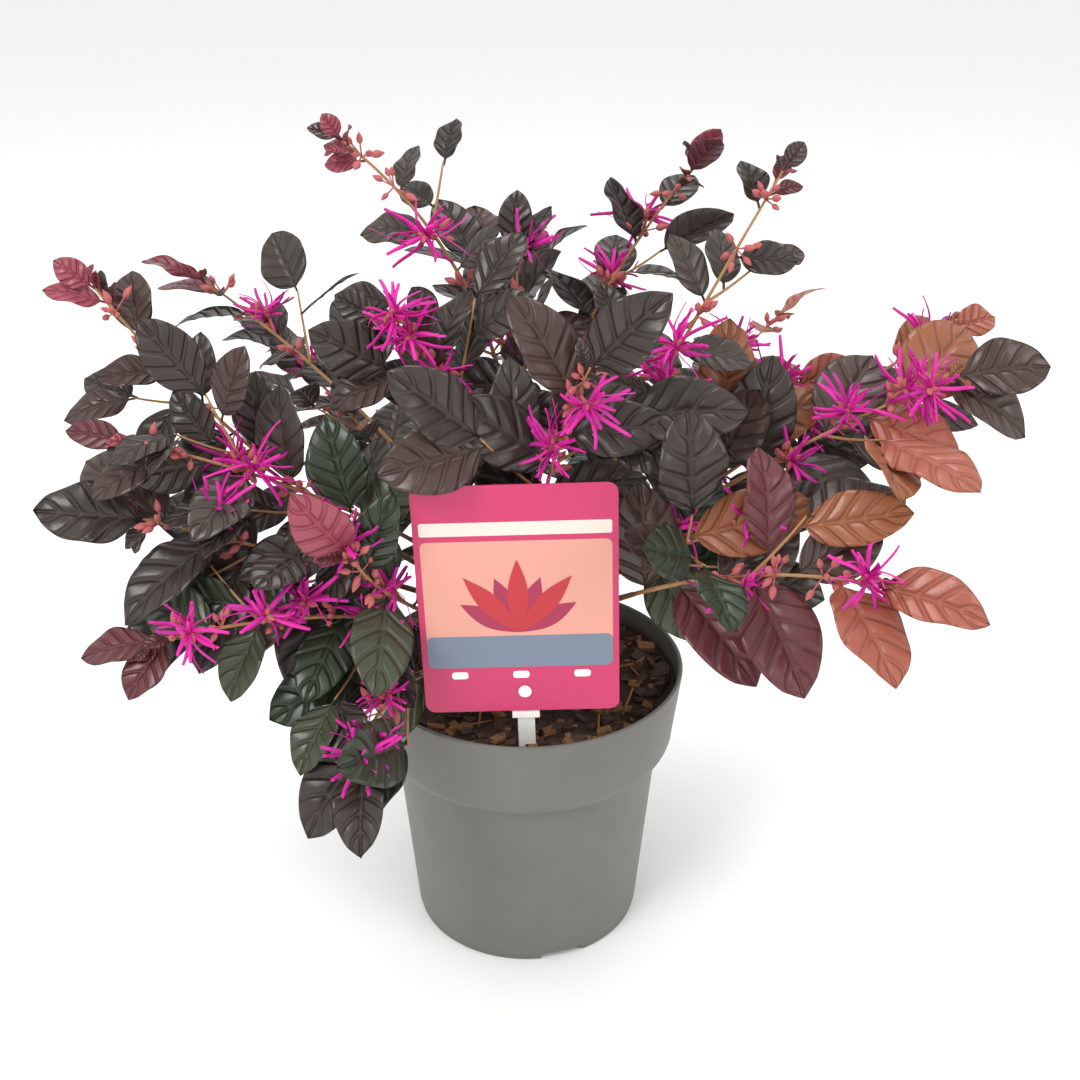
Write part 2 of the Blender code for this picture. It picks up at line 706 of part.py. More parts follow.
def place_leaf(shoot, key, base, ahead, side, age, attempt):
    """One leaf at a node. The age runs from 0, old and full grown, to 1, the youngest at the tip."""
    draw = random.Random("%s %d %s %d" % (shoot.name, shoot.seed, key, attempt))
    spread = 0.25 + 0.12 * attempt
    face = facing(shoot) + Vector([draw.uniform(-spread, spread) for _ in range(3)])
    flat = face - ahead * face.dot(ahead)
    if flat.length < 0.2:
        flat = ahead.orthogonal()
    flat.normalize()
    beside = ahead.cross(flat) * side
    opening = math.radians(draw.uniform(48.0, 72.0) * (1.0 - 0.45 * age))
    axis = ahead * math.cos(opening) + beside * math.sin(opening)
    axis.z -= draw.uniform(*DROOP) * (1.0 - 0.7 * age)
    axis += Vector([draw.uniform(-0.15, 0.15) * (1 + attempt * 0.4) for _ in range(3)])
    axis.normalize()
    across = axis.cross(face).normalized()
    normal = across.cross(axis).normalized()
    size = shoot.leaf * (1.0 - shoot.young * age ** 1.5) * draw.uniform(0.80, 1.05)
    return Leaf(base, axis, across, normal, size, size * LEAF_ASPECT * draw.uniform(0.88, 1.10))


class Space:
    """What is placed so far, in small trees that a new leaf is tested against."""

    def __init__(self):
        self.trees = []

    def add(self, owner, points, faces, blade=False):
        low = Vector([min(p[i] for p in points) for i in range(3)])
        high = Vector([max(p[i] for p in points) for i in range(3)])
        self.trees.append((owner, low, high, BVHTree.FromPolygons(points, faces), blade))

    def free(self, owner, points, faces, own_blades=True):
        """True where a form touches nothing of another piece, and no blade of its own."""
        tree = BVHTree.FromPolygons(points, faces)
        low = [min(p[i] for p in points) for i in range(3)]
        high = [max(p[i] for p in points) for i in range(3)]
        for other, other_low, other_high, other_tree, blade in self.trees:
            if other == owner and not (blade and own_blades):
                continue
            if any(low[i] > other_high[i] or high[i] < other_low[i] for i in range(3)):
                continue
            if tree.overlap(other_tree):
                return False
        return True


def above_ground(points):
    """True where a form stays out of the soil, the pot's inside and the ground, and off the label's face."""
    to_card = card_matrix().inverted()
    for point in points:
        local = to_card @ point
        if abs(local.x) < CARD_WIDTH / 2 and local.y < 0.0 and -BUTTON_HEIGHT < local.z < CARD_HEIGHT:
            return False
        radius = math.hypot(point[0], point[1])
        if radius < RIM_RADIUS and point[2] < SOIL_LEVEL + 0.002:
            if radius > BASE_RADIUS or point[2] > 0.0:
                return False
        if point[2] < 0.03:
            return False
    return True


def stem_nodes(points, spacing, start):
    """Places, directions and shares along a line of points, a spacing apart."""
    lengths = [0.0]
    for a, b in zip(points, points[1:]):
        lengths.append(lengths[-1] + (b - a).length)
    found = []
    where = start
    while where < lengths[-1] - 0.002:
        i = max(j for j in range(len(lengths) - 1) if lengths[j] <= where)
        share = (where - lengths[i]) / (lengths[i + 1] - lengths[i])
        ahead = (points[i + 1] - points[i]).normalized()
        found.append((points[i].lerp(points[i + 1], share), ahead, where / lengths[-1]))
        where += spacing
    return found


def grow(shoot, root, space):
    """The closed forms of one mass: stem, side twigs, leaves and blossom."""
    name = "mass_" + shoot.name
    split = shoot.split
    line = path(shoot, root, split, 1.0, STEM_POINTS)
    line[0] += (line[1] - line[0]).normalized() * GAP
    radii = [STEM_RADIUS + (STEM_TIP_RADIUS - STEM_RADIUS) * i / (STEM_POINTS - 1)
             for i in range(STEM_POINTS)]
    forms = [(three_sided(line, radii), BARK_SLOT)]

    def add_leaf(key, base, ahead, side, age):
        for attempt in range(TRIES):
            leaf = place_leaf(shoot, key, base, ahead, side, age, attempt)
            test = leaf_form(leaf._replace(base=base + leaf.axis * LEAF_STALK), CLEARANCE)
            form = leaf_form(leaf)
            if not above_ground(form[0]):
                continue
            if space.free(name, *test) and space.free(name, *leaf_form(leaf, CLEARANCE), False):
                forms.append((form, LEAF_SLOT))
                space.add(name, *form)
                space.add(name, *leaf_form(leaf._replace(base=base + leaf.axis * LEAF_STALK)), True)
                return

    nodes = stem_nodes(line, shoot.spacing, FIRST_LEAF)
    twig_nodes = [int((i + 0.6) * len(nodes) * 0.72 / max(shoot.twigs, 1)) for i in range(shoot.twigs)]
    for i, (base, ahead, share) in enumerate(nodes):
        side = 1 if i % 2 else -1
        if i in twig_nodes:
            add_twig(shoot, name, i, base, ahead, side, share, space, forms, add_leaf)
        add_leaf("leaf %d" % i, base, ahead, side, share ** 1.6)
    end = (line[-1] - line[-2]).normalized()
    add_leaf("tip", line[-1] - end * TIP_SINK, end, 0, 1.0)
    for i, share in enumerate(shoot.blossom):
        add_blossom(shoot, name, i, share, line, split, space, forms)
    return forms


def make_mass(shoot, root, space, parts):
    """One mass of foliage, fused into one body."""
    name = "mass_" + shoot.name
    forms = grow(shoot, root, space)
    meshes = [mesh_from("%s_%d" % (name, i), points, faces, slot)
              for i, ((points, faces), slot) in enumerate(forms)]
    for mesh in meshes:
        outward(mesh)
    return join(name, meshes, parts, "leaf_bronze", "bark_brown", "petal_magenta")


def outward(mesh):
    form = bmesh.new()
    form.from_mesh(mesh)
    bmesh.ops.recalc_face_normals(form, faces=form.faces)
    form.to_mesh(mesh)
    form.free()


def add_twig(shoot, name, index, base, ahead, side, share, space, forms, add_leaf):
    """A side twig that leaves the stem at a slant, rises a little, and has its own leaves."""
    for attempt in range(TRIES):
        draw = random.Random("%s %d twig %d %d" % (shoot.name, shoot.seed, index, attempt))
        face = facing(shoot) + Vector([draw.uniform(-0.4, 0.4) for _ in range(3)])
        beside = ahead.cross(face).normalized() * -side
        opening = math.radians(draw.uniform(35.0, 60.0))
        axis = ahead * math.cos(opening) + beside * math.sin(opening)
        axis.z += draw.uniform(-0.1, 0.25)
        axis.normalize()
        length = TWIG_LENGTH * draw.uniform(0.7, 1.1) * (1.0 - 0.4 * share)
        line = []
        for i in range(TWIG_POINTS):
            share_out = i / (TWIG_POINTS - 1)
            rise = Vector((0.0, 0.0, TWIG_RISE * length * share_out ** 2))
            line.append(base + axis * (length * share_out) + rise)
        line[0] = base - axis * SINK
        radii = [TWIG_RADIUS + (TWIG_TIP_RADIUS - TWIG_RADIUS) * i / (TWIG_POINTS - 1)
                 for i in range(TWIG_POINTS)]
        form = three_sided(line, radii)
        test = three_sided(line, [radius + CLEARANCE for radius in radii])
        if above_ground(form[0]) and space.free(name, *test, False):
            forms.append((form, BARK_SLOT))
            space.add(name, *test)
            places = stem_nodes(line, shoot.spacing * 0.9, FIRST_TWIG_LEAF)
            for j, (place, along, at) in enumerate(places):
                add_leaf("twig %d leaf %d" % (index, j), place, along, 1 if j % 2 else -1,
                         0.25 + 0.5 * at)
            end = (line[-1] - line[-2]).normalized()
            add_leaf("twig %d tip" % index, line[-1] - end * TIP_SINK, end, 0, 0.6)
            return


def add_blossom(shoot, name, index, share, line, split, space, forms):
    """A tuft of strap petals on a short spur."""
    position = (share - split) / (1.0 - split) * (len(line) - 1)
    i = min(int(position), len(line) - 2)
    base = line[i].lerp(line[i + 1], position - i)
    ahead = (line[i + 1] - line[i]).normalized()
    draw = random.Random("%s %d blossom %d" % (shoot.name, shoot.seed, index))
    face = facing(shoot) + Vector([draw.uniform(-0.5, 0.5) for _ in range(3)])
    axis = (face - ahead * face.dot(ahead) * 0.6).normalized()
    heart = base + axis * SPUR_LENGTH
    spur = three_sided([base - axis * SINK, heart], [SPUR_RADIUS, SPUR_RADIUS])
    if not space.free(name, *spur, False):
        return
    forms.append((spur, BARK_SLOT))
    space.add(name, *spur)
    side = axis.orthogonal().normalized()
    other = axis.cross(side)
    points = [heart - axis * HEART_HEIGHT, heart + axis * HEART_HEIGHT]
    for j in range(PETAL_COUNT * 2):
        turn = math.tau * (j + draw.uniform(-0.25, 0.25)) / (PETAL_COUNT * 2)
        long = j % 2 == 0
        reach = PETAL_LENGTH * draw.uniform(0.75, 1.1) if long else PETAL_WIDTH
        lift = draw.uniform(-0.1, 0.7) if long else 0.0
        points.append(heart + (side * math.cos(turn) + other * math.sin(turn)) * reach
                      + axis * (lift * reach))
    count = PETAL_COUNT * 2
    faces = [(0, 2 + (j + 1) % count, 2 + j) for j in range(count)]
    faces += [(1, 2 + j, 2 + (j + 1) % count) for j in range(count)]
    if space.free(name, points, faces, False) and above_ground(points):
        forms.append(((points, faces), PETAL_SLOT))
        space.add(name, points, faces)


def add_mesh(space, made):
    evaluated = made.evaluated_get(bpy.context.evaluated_depsgraph_get())
    mesh = evaluated.to_mesh()
    points = [made.matrix_world @ vert.co for vert in mesh.vertices]
    faces = [tuple(polygon.vertices) for polygon in mesh.polygons]
    space.add(made.name, points, faces)
    evaluated.to_mesh_clear()


def main():
    clear_scene()
    parts = new_collection("potted_fringe_flower")
    cutters = new_collection("cutters")
    space = Space()
    fixed = [make_pot(parts, cutters), make_soil(parts, cutters), make_card(parts, cutters),
             make_stake(parts), make_trunk(parts)]
    bpy.context.view_layer.update()
    for made in fixed:
        add_mesh(space, made)
    roots = choose_roots()
    for shoot in SHOOTS:
        line = path(shoot, roots[shoot.name], 0.0, shoot.split, BOUGH_POINTS)
        radii = [BOUGH_RADIUS + (BOUGH_TIP_RADIUS - BOUGH_RADIUS) * i / (BOUGH_POINTS - 1)
                 for i in range(BOUGH_POINTS)]
        bough = tube("bough_" + shoot.name, line, radii, 1, parts, "bark_brown")
        add_mesh(space, bough)
    for shoot in SHOOTS:
        line = path(shoot, roots[shoot.name], shoot.split, 1.0, STEM_POINTS)
        guard = three_sided(line, [STEM_RADIUS + GAP * 2] * STEM_POINTS)
        space.add("mass_" + shoot.name, *guard)
    for shoot in SHOOTS:
        make_mass(shoot, roots[shoot.name], space, parts)


main()
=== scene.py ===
"""Potted Chinese fringe flower: the looks of a young loropetalum in its moulded nursery pot."""
import math
import random
from collections import namedtuple
from itertools import product

import bmesh
import bpy
import numpy as np
from mathutils import Matrix, Vector
from mathutils.kdtree import KDTree


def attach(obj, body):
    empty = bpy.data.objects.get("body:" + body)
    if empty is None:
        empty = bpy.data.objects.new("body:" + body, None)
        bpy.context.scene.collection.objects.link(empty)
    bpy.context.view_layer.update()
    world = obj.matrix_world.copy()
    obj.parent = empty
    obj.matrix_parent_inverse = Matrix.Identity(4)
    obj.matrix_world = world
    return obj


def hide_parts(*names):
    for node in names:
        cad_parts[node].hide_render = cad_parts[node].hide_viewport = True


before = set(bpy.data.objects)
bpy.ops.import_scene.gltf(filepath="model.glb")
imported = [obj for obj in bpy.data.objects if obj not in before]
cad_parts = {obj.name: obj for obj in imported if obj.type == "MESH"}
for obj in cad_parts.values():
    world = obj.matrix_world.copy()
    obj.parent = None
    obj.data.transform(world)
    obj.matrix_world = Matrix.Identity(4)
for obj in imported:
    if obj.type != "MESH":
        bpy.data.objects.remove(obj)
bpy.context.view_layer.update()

# Studio
# A white paper sweep under large soft lamps. The camera stands a little above the crown and looks
# down at the pot, as in a plant catalogue.
CAMERA_PLACE = (0.0075, -0.670, 0.557)
CAMERA_TILT = math.radians(63.8)
SENSOR_WIDTH = 36.0
PICTURE_PIXELS = 1080
FOCAL_PIXELS = 1430
NEAREST_SEEN = 0.01
SKY_STRENGTH = 0.92
FLOOR_SIZE = 30.0
FLOOR_DROP = 0.0005
LAMP_AIM = Vector((0.0, 0.0, 0.25))
# Each lamp: place, width in metres, power in watts
LAMPS = {
    "key_lamp": ((-0.9, -1.1, 1.6), 0.8, 17.0),
    "fill_lamp": ((1.3, -0.9, 1.0), 0.9, 7.0),
    "top_lamp": ((0.1, 0.6, 1.9), 1.0, 12.0),
}


def linear(code):
    """An sRGB hex colour as linear values."""
    parts = [int(code[i:i + 2], 16) / 255 for i in (1, 3, 5)]
    return tuple(c / 12.92 if c <= 0.04045 else ((c + 0.055) / 1.055) ** 2.4 for c in parts) + (1.0,)


def add_node(material, kind, settings=(), links=()):
    """Add a node: settings name its properties or inputs, links name what feeds its inputs."""
    made = material.node_tree.nodes.new(kind)
    for name, value in dict(settings).items():
        if name in made.inputs:
            made.inputs[name].default_value = value
        else:
            setattr(made, name, value)
    for name, source in dict(links).items():
        material.node_tree.links.new(source, made.inputs[name])
    return made


def shader_of(material):
    """The shader that a new material comes with."""
    return material.node_tree.nodes["Principled BSDF"]


def start_material(name, colour, roughness):
    """A new material with the plain colour and roughness of its finish."""
    made = bpy.data.materials.new(name)
    made.use_nodes = True
    shader_of(made).inputs["Base Color"].default_value = linear(colour)
    shader_of(made).inputs["Roughness"].default_value = roughness
    made.diffuse_color = linear(colour)
    return made


def feed(material, name, source):
    """Link what feeds an input of the material's shader."""
    material.node_tree.links.new(source, shader_of(material).inputs[name])


def mottled(name, colour, roughness, size, low, high, relief):
    """A material with uneven colour and a fine relief, both from noise of a real size in metres."""
    made = start_material(name, colour, roughness)
    place = add_node(made, "ShaderNodeTexCoord")
    noise = add_node(made, "ShaderNodeTexNoise", {"Scale": 1.0 / size, "Detail": 3.0},
                     {"Vector": place.outputs["Object"]})
    mix = add_node(made, "ShaderNodeMix", {"data_type": "RGBA"}, {"Factor": noise.outputs["Fac"]})
    # The mix node has sockets for numbers, vectors and colours. These are the ones for colours.
    mix.inputs[6].default_value = linear(low)
    mix.inputs[7].default_value = linear(high)
    bump = add_node(made, "ShaderNodeBump", {"Distance": relief, "Strength": 0.6},
                    {"Height": noise.outputs["Fac"]})
    feed(made, "Base Color", mix.outputs[2])
    feed(made, "Normal", bump.outputs["Normal"])
    return made


def put(name, data):
    """A new object in the scene."""
    made = bpy.data.objects.new(name, data)
    bpy.context.scene.collection.objects.link(made)
    return made


def add_piece(name, mesh, slot, *materials):
    """A new piece of the object, which stands with the rest of the pot."""
    piece = put(name, mesh)
    for entry in materials:
        mesh.materials.append(entry)
    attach(piece, "root")
    return piece


camera = put("camera", bpy.data.cameras.new("camera"))
camera.location = CAMERA_PLACE
camera.rotation_euler = (CAMERA_TILT, 0.0, 0.0)
camera.data.sensor_width = SENSOR_WIDTH
camera.data.lens = SENSOR_WIDTH * FOCAL_PIXELS / PICTURE_PIXELS
camera.data.clip_start = NEAREST_SEEN
bpy.context.scene.camera = camera
bpy.context.scene.view_settings.view_transform = "Standard"

world = bpy.data.worlds.new("studio_white")
world.use_nodes = True
world.node_tree.nodes["Background"].inputs["Color"].default_value = linear("#ffffff")
world.node_tree.nodes["Background"].inputs["Strength"].default_value = SKY_STRENGTH
bpy.context.scene.world = world

for lamp_name, (lamp_place, lamp_width, lamp_power) in LAMPS.items():
    lamp = put(lamp_name, bpy.data.lights.new(lamp_name, "AREA"))
    lamp.data.size = lamp_width
    lamp.data.energy = lamp_power
    lamp.location = lamp_place
    lamp.rotation_euler = (LAMP_AIM - lamp.location).to_track_quat("-Z", "Y").to_euler()

floor_mesh = bpy.data.meshes.new("floor")
half_floor = FLOOR_SIZE / 2
floor_mesh.from_pydata([(x * half_floor, y * half_floor, -FLOOR_DROP)
                        for x, y in ((-1, -1), (1, -1), (1, 1), (-1, 1))], [], [(0, 1, 2, 3)])
# Matt white paper has no shine, so only the pot's shadow shows on it.
floor_mesh.materials.append(start_material("matt_white_paper", "#fbfbfa", 0.9))
studio_floor = put("floor", floor_mesh)

# Nursery pot
# One thin-walled shot of grey recycled polypropylene: a deep collar, a rounded step that pots stack
# on, and a foot ring with drain notches. The mould leaves it matt, with a dull sheen along the lip.
POT_HEIGHT = 0.155
RIM_RADIUS = 0.085
COLLAR_FOOT_RADIUS = 0.0805
COLLAR_DEPTH = 0.038
STEP_RADIUS = 0.0725
STEP_DEPTH = 0.0475
BASE_RADIUS = 0.0631
POT_WALL = 0.0014
LIP_WALL = 0.0024
LIP_DEPTH = 0.004
FLOOR_HEIGHT = 0.0045
FOOT_WIDTH = 0.003
FOOT_LINE = 0.003
FOOT_BEAD = 0.0001
FOOT_BEAD_RISE = 0.0003
FOOT_GROOVE = 0.0006
FOOT_EDGE = 0.0004
BOSS_RADIUS = 0.012
DRAFT = 0.001
POT_SEGMENTS = 160
ROUND_STEPS = 8
NOTCH_ANGLE = math.radians(-71.5)
NOTCH_COUNT = 3
NOTCH_HEIGHT = 0.004
NOTCH_WIDTH = 0.025
NOTCH_SLANT = 0.16
NOTCH_DEPTH = 0.016
DRAIN_COUNT = 6
DRAIN_RADIUS = 0.005
DRAIN_CIRCLE = 0.040
DRAIN_SEGMENTS = 24
CREASE_ANGLE = math.radians(38.0)


def inner_radius(height):
    """The pot's inner radius at a height above the ground."""
    heights = (0.0, POT_HEIGHT - STEP_DEPTH, POT_HEIGHT - COLLAR_DEPTH, POT_HEIGHT)
    radii = (BASE_RADIUS, STEP_RADIUS, COLLAR_FOOT_RADIUS, RIM_RADIUS)
    return float(np.interp(height, heights, radii)) - POT_WALL


def pot_profile():
    """The pot's section, from the middle of its floor up the inside and down the outside."""
    step = POT_HEIGHT - STEP_DEPTH
    collar = POT_HEIGHT - COLLAR_DEPTH
    lip = POT_HEIGHT - LIP_DEPTH
    slope = (RIM_RADIUS - COLLAR_FOOT_RADIUS) / COLLAR_DEPTH
    floor = FLOOR_HEIGHT + POT_WALL
    section = [(0.0, floor), (inner_radius(floor), floor), (inner_radius(step), step),
               (inner_radius(collar), collar), (RIM_RADIUS - slope * LIP_DEPTH - LIP_WALL, lip)]
    for i in range(ROUND_STEPS + 1):
        turn = math.pi * (1.0 - i / ROUND_STEPS)
        section.append((RIM_RADIUS - LIP_WALL / 2 + LIP_WALL / 2 * math.cos(turn),
                        POT_HEIGHT - LIP_WALL / 2 + LIP_WALL / 2 * math.sin(turn)))
    for i in range(ROUND_STEPS + 1):
        turn = math.radians(90.0) * i / ROUND_STEPS
        section.append((STEP_RADIUS + (COLLAR_FOOT_RADIUS - STEP_RADIUS) * math.cos(turn),
                        collar + (step - collar) * math.sin(turn)))
    foot = BASE_RADIUS + (STEP_RADIUS - BASE_RADIUS) * FOOT_LINE / step
    section += [(foot + FOOT_BEAD, FOOT_LINE + FOOT_BEAD_RISE), (foot - FOOT_GROOVE, FOOT_LINE),
                (BASE_RADIUS - FOOT_EDGE, 0.0), (BASE_RADIUS - FOOT_WIDTH, 0.0),
                (BASE_RADIUS - FOOT_WIDTH - DRAFT, FLOOR_HEIGHT), (BOSS_RADIUS + DRAFT, FLOOR_HEIGHT),
                (BOSS_RADIUS, 0.0), (0.0, 0.0)]
    return section


def finished_mesh(name, form):
    """The form as a mesh. The form itself is let go."""
    mesh = bpy.data.meshes.new(name)
    form.to_mesh(mesh)
    form.free()
    return mesh


def turn_profile(name, profile, segments):
    """A closed skin from a section that starts and ends on the axis."""
    form = bmesh.new()
    rings = []
    for radius, height in profile:
        if radius == 0.0:
            rings.append([form.verts.new((0.0, 0.0, height))])
        else:
            rings.append([form.verts.new((radius * math.cos(math.tau * j / segments),
                                          radius * math.sin(math.tau * j / segments), height))
                          for j in range(segments)])
    for ring, following in zip(rings, rings[1:]):
        for j in range(segments):
            k = (j + 1) % segments
            corners = [ring[j % len(ring)], ring[k % len(ring)],
                       following[k % len(following)], following[j % len(following)]]
            form.faces.new(list(dict.fromkeys(corners)))
    bmesh.ops.recalc_face_normals(form, faces=form.faces)
    return finished_mesh(name, form)


def pot_cuts():
    """The foot ring's notches and the floor's drain holes, as one cutting form."""
    form = bmesh.new()
    for i in range(NOTCH_COUNT):
        place = (Matrix.Rotation(NOTCH_ANGLE + math.tau * i / NOTCH_COUNT, 4, "Z")
                 @ Matrix.Translation((BASE_RADIUS, 0.0, 0.0)))
        for corner in bmesh.ops.create_cube(form, size=1.0)["verts"]:
            high = corner.co.z > 0.0
            width = NOTCH_WIDTH * (1.0 - NOTCH_SLANT if high else 1.0 + NOTCH_SLANT)
            height = NOTCH_HEIGHT if high else -NOTCH_HEIGHT
            corner.co = place @ Vector((corner.co.x * NOTCH_DEPTH, corner.co.y * width, height))
    for i in range(DRAIN_COUNT):
        place = (Matrix.Rotation(math.tau * (i + 0.5) / DRAIN_COUNT, 4, "Z")
                 @ Matrix.Translation((DRAIN_CIRCLE, 0.0, FLOOR_HEIGHT + POT_WALL / 2)))
        bmesh.ops.create_cone(form, cap_ends=True, segments=DRAIN_SEGMENTS, radius1=DRAIN_RADIUS,
                              radius2=DRAIN_RADIUS, depth=POT_WALL * 4, matrix=place)
    return put("pot_cuts", finished_mesh("pot_cuts", form))


# Moulded polypropylene: matt, with a faint grain from the mould and a grey that varies a little.
grey_polypropylene = mottled("moulded_grey_polypropylene", "#686761", 0.48, 0.030, "#62615b", "#6d6c66",
                             0.0002)
pot = add_piece("nursery_pot", turn_profile("nursery_pot", pot_profile(), POT_SEGMENTS), "pot",
                grey_polypropylene)
cutter = pot_cuts()
cutting = pot.modifiers.new("notches_and_drains", "BOOLEAN")
cutting.operation = "DIFFERENCE"
cutting.solver = "EXACT"
cutting.object = cutter
pot_mesh = bpy.data.meshes.new_from_object(pot.evaluated_get(bpy.context.evaluated_depsgraph_get()))
pot.modifiers.clear()
pot.data = pot_mesh
bpy.data.objects.remove(cutter)
pot_mesh.shade_smooth()
pot_mesh.set_sharp_from_angle(angle=CREASE_ANGLE)
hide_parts("pot")

# Potting soil
# Peat with coarse composted bark, pressed round the roots and left loose on top. The solid ball stays
# as the damp dark peat, and chips of bark and fine dead twigs lie on it.
SOIL_LEVEL = 0.145
CHIP_COUNT = 520
CHIP_SIZES = (0.0035, 0.0120)
CHIP_WEAR = (0.5, 1.0)
CHIP_BREADTH = (0.4, 0.8)
CHIP_DEPTH = (0.2, 0.4)
CHIP_JAG = (0.70, 1.15)
CHIP_LEAN = 0.5
CHIP_RISE = (-0.1, 0.5)
OCHRE_SHARE = 0.28
TWIGLET_COUNT = 34
TWIGLET_SIZES = (0.010, 0.028)
TWIGLET_THICKNESS = 0.0010
BARE_EDGE = 0.007


def refinish(node, material):
    """Give its own finish to a solid that shows as it is."""
    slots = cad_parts[node].data.materials
    slots.clear()
    slots.append(material)


# Damp peat is a dull brown-black. The chips are dull too: dark where composted, ochre where split.
refinish("soil", mottled("damp_peat", "#2f221a", 0.95, 0.004, "#1f1611", "#4a3424", 0.0010))
mulch_materials = [mottled(*finish) for finish in (
    ("composted_dark_bark", "#3c2a1f", 0.85, 0.003, "#2a1c14", "#553c2a", 0.0006),
    ("split_ochre_bark", "#7d5433", 0.80, 0.003, "#60401f", "#95683f", 0.0006),
    ("dead_twig_wood", "#94623a", 0.80, 0.002, "#80522e", "#a97447", 0.0003),
)]


class Skin:
    """Closed forms gathered into one mesh, each face with its material's place in the list."""

    def __init__(self):
        self.points = []
        self.faces = []
        self.slots = []
        self.shares = []
        self.count = 0

    def add(self, points, faces, slot, shares=None):
        """Add a form. The shares are each corner's place across and along its own blade."""
        self.points.append(np.asarray(points, dtype=float))
        self.shares.append(np.zeros((len(points), 2)) if shares is None else shares)
        self.faces += [[i + self.count for i in face] for face in faces]
        self.slots += [slot] * len(faces)
        self.count += len(points)

    def mesh(self, name, smooth=True):
        """The gathered forms as one mesh, with each blade's own coordinates in the map named blade."""
        made = bpy.data.meshes.new(name)
        made.from_pydata(np.concatenate(self.points).tolist(), [], self.faces)
        made.polygons.foreach_set("material_index", self.slots)
        corner = np.zeros(len(made.loops), dtype=np.int32)
        made.loops.foreach_get("vertex_index", corner)
        layer = made.uv_layers.new(name="blade")
        layer.uv.foreach_set("vector", np.concatenate(self.shares)[corner].ravel().astype(np.float32))
        if smooth:
            made.shade_smooth()
        return made


DARK_SLOT, OCHRE_SLOT, TWIG_SLOT = range(3)
CUBE = np.array([(x, y, z) for z in (-1, 1) for y in (-1, 1) for x in (-1, 1)], dtype=float) / 2
CUBE_FACES = [(0, 2, 3, 1), (4, 5, 7, 6), (0, 1, 5, 4), (2, 6, 7, 3), (0, 4, 6, 2), (1, 3, 7, 5)]


def scatter(draw, length, width, height):
    """A chip of jagged block, laid at a random place and turn on the soil."""
    radius = (inner_radius(SOIL_LEVEL) - BARE_EDGE) * math.sqrt(draw.random())
    turn = draw.uniform(0.0, math.tau)
    corners = CUBE * (length, width, height)
    jag = np.array([[draw.uniform(*CHIP_JAG) for _ in range(3)] for _ in CUBE])
    lean = (Matrix.Rotation(draw.uniform(0.0, math.tau), 3, "Z")
            @ Matrix.Rotation(draw.uniform(-CHIP_LEAN, CHIP_LEAN), 3, "Y")
            @ Matrix.Rotation(draw.uniform(-CHIP_LEAN, CHIP_LEAN), 3, "X"))
    rise = height * draw.uniform(*CHIP_RISE)
    place = (radius * math.cos(turn), radius * math.sin(turn), SOIL_LEVEL + rise)
    return (corners * jag) @ np.array(lean).T + place


mulch = Skin()
soil_draw = random.Random("soil")
for i in range(CHIP_COUNT):
    length = soil_draw.uniform(*CHIP_SIZES) * soil_draw.uniform(*CHIP_WEAR)
    chip = scatter(soil_draw, length, length * soil_draw.uniform(*CHIP_BREADTH),
                   length * soil_draw.uniform(*CHIP_DEPTH))
    mulch.add(chip, CUBE_FACES, OCHRE_SLOT if soil_draw.random() < OCHRE_SHARE else DARK_SLOT)
for i in range(TWIGLET_COUNT):
    length = soil_draw.uniform(*TWIGLET_SIZES)
    mulch.add(scatter(soil_draw, length, TWIGLET_THICKNESS, TWIGLET_THICKNESS), CUBE_FACES, TWIG_SLOT)
add_piece("bark_mulch", mulch.mesh("bark_mulch", smooth=False), "soil", *mulch_materials)

# Plant label
# A printed polystyrene card with round corners, snapped on the button of a white stake. The print is
# a plain design: a light band, a panel with a fan of petals over a blue-grey foot, and three tabs.
CARD_WIDTH = 0.096
CARD_THICKNESS = 0.0006
CARD_FOOT = Vector((-0.001, -0.069, 0.167))
CARD_LEAN = math.radians(2.2)
CARD_ROLL = math.radians(-1.7)
INK_STEP = 0.00008
INK_THICKNESS = INK_STEP * 0.9
INK_ROUGHNESS = 0.32
ARC_STEPS = 6
PRINT_MARGIN = 0.003
# Heights on the card, from its foot
BAND_HEIGHTS = (0.099, 0.106)
PANEL_HEIGHTS = (0.026, 0.096)
PANEL_FOOT_HEIGHTS = (0.026, 0.044)
TAB_HEIGHTS = (0.0195, 0.0235)
FAN_HEIGHT = 0.046
BAND_CORNER = 0.001
PANEL_CORNER = 0.003
TAB_CORNER = 0.0015
TAB_HALF_WIDTH = 0.004
TAB_SPACING = 0.030
FAN_PETALS = 7
FAN_START = 150.0
FAN_STEP = 20.0
FAN_LENGTHS = (0.032, 0.040)
FAN_PETAL_WIDTH = 0.010
FAN_INKS = ("ink_deep_pink", "ink_red")

# Printed polystyrene is smooth, so the ink has a satin shine. The stake is the same plastic, bare.
refinish("label_card", start_material("printed_card_pink", "#c42e62", INK_ROUGHNESS))
refinish("label_stake", start_material("moulded_white_polystyrene", "#eceae6", 0.35))

card_place = (Matrix.Translation(CARD_FOOT) @ Matrix.Rotation(CARD_LEAN, 4, "X")
              @ Matrix.Rotation(CARD_ROLL, 4, "Y"))


def round_box(left, right, low, high, radius):
    """The outline of a box with round corners, on the card."""
    outline = []
    centres = ((right - radius, high - radius), (left + radius, high - radius),
               (left + radius, low + radius), (right - radius, low + radius))
    for i, (x, z) in enumerate(centres):
        for j in range(ARC_STEPS + 1):
            turn = math.radians(90.0) * (i + j / ARC_STEPS)
            outline.append((x + radius * math.cos(turn), z + radius * math.sin(turn)))
    return outline


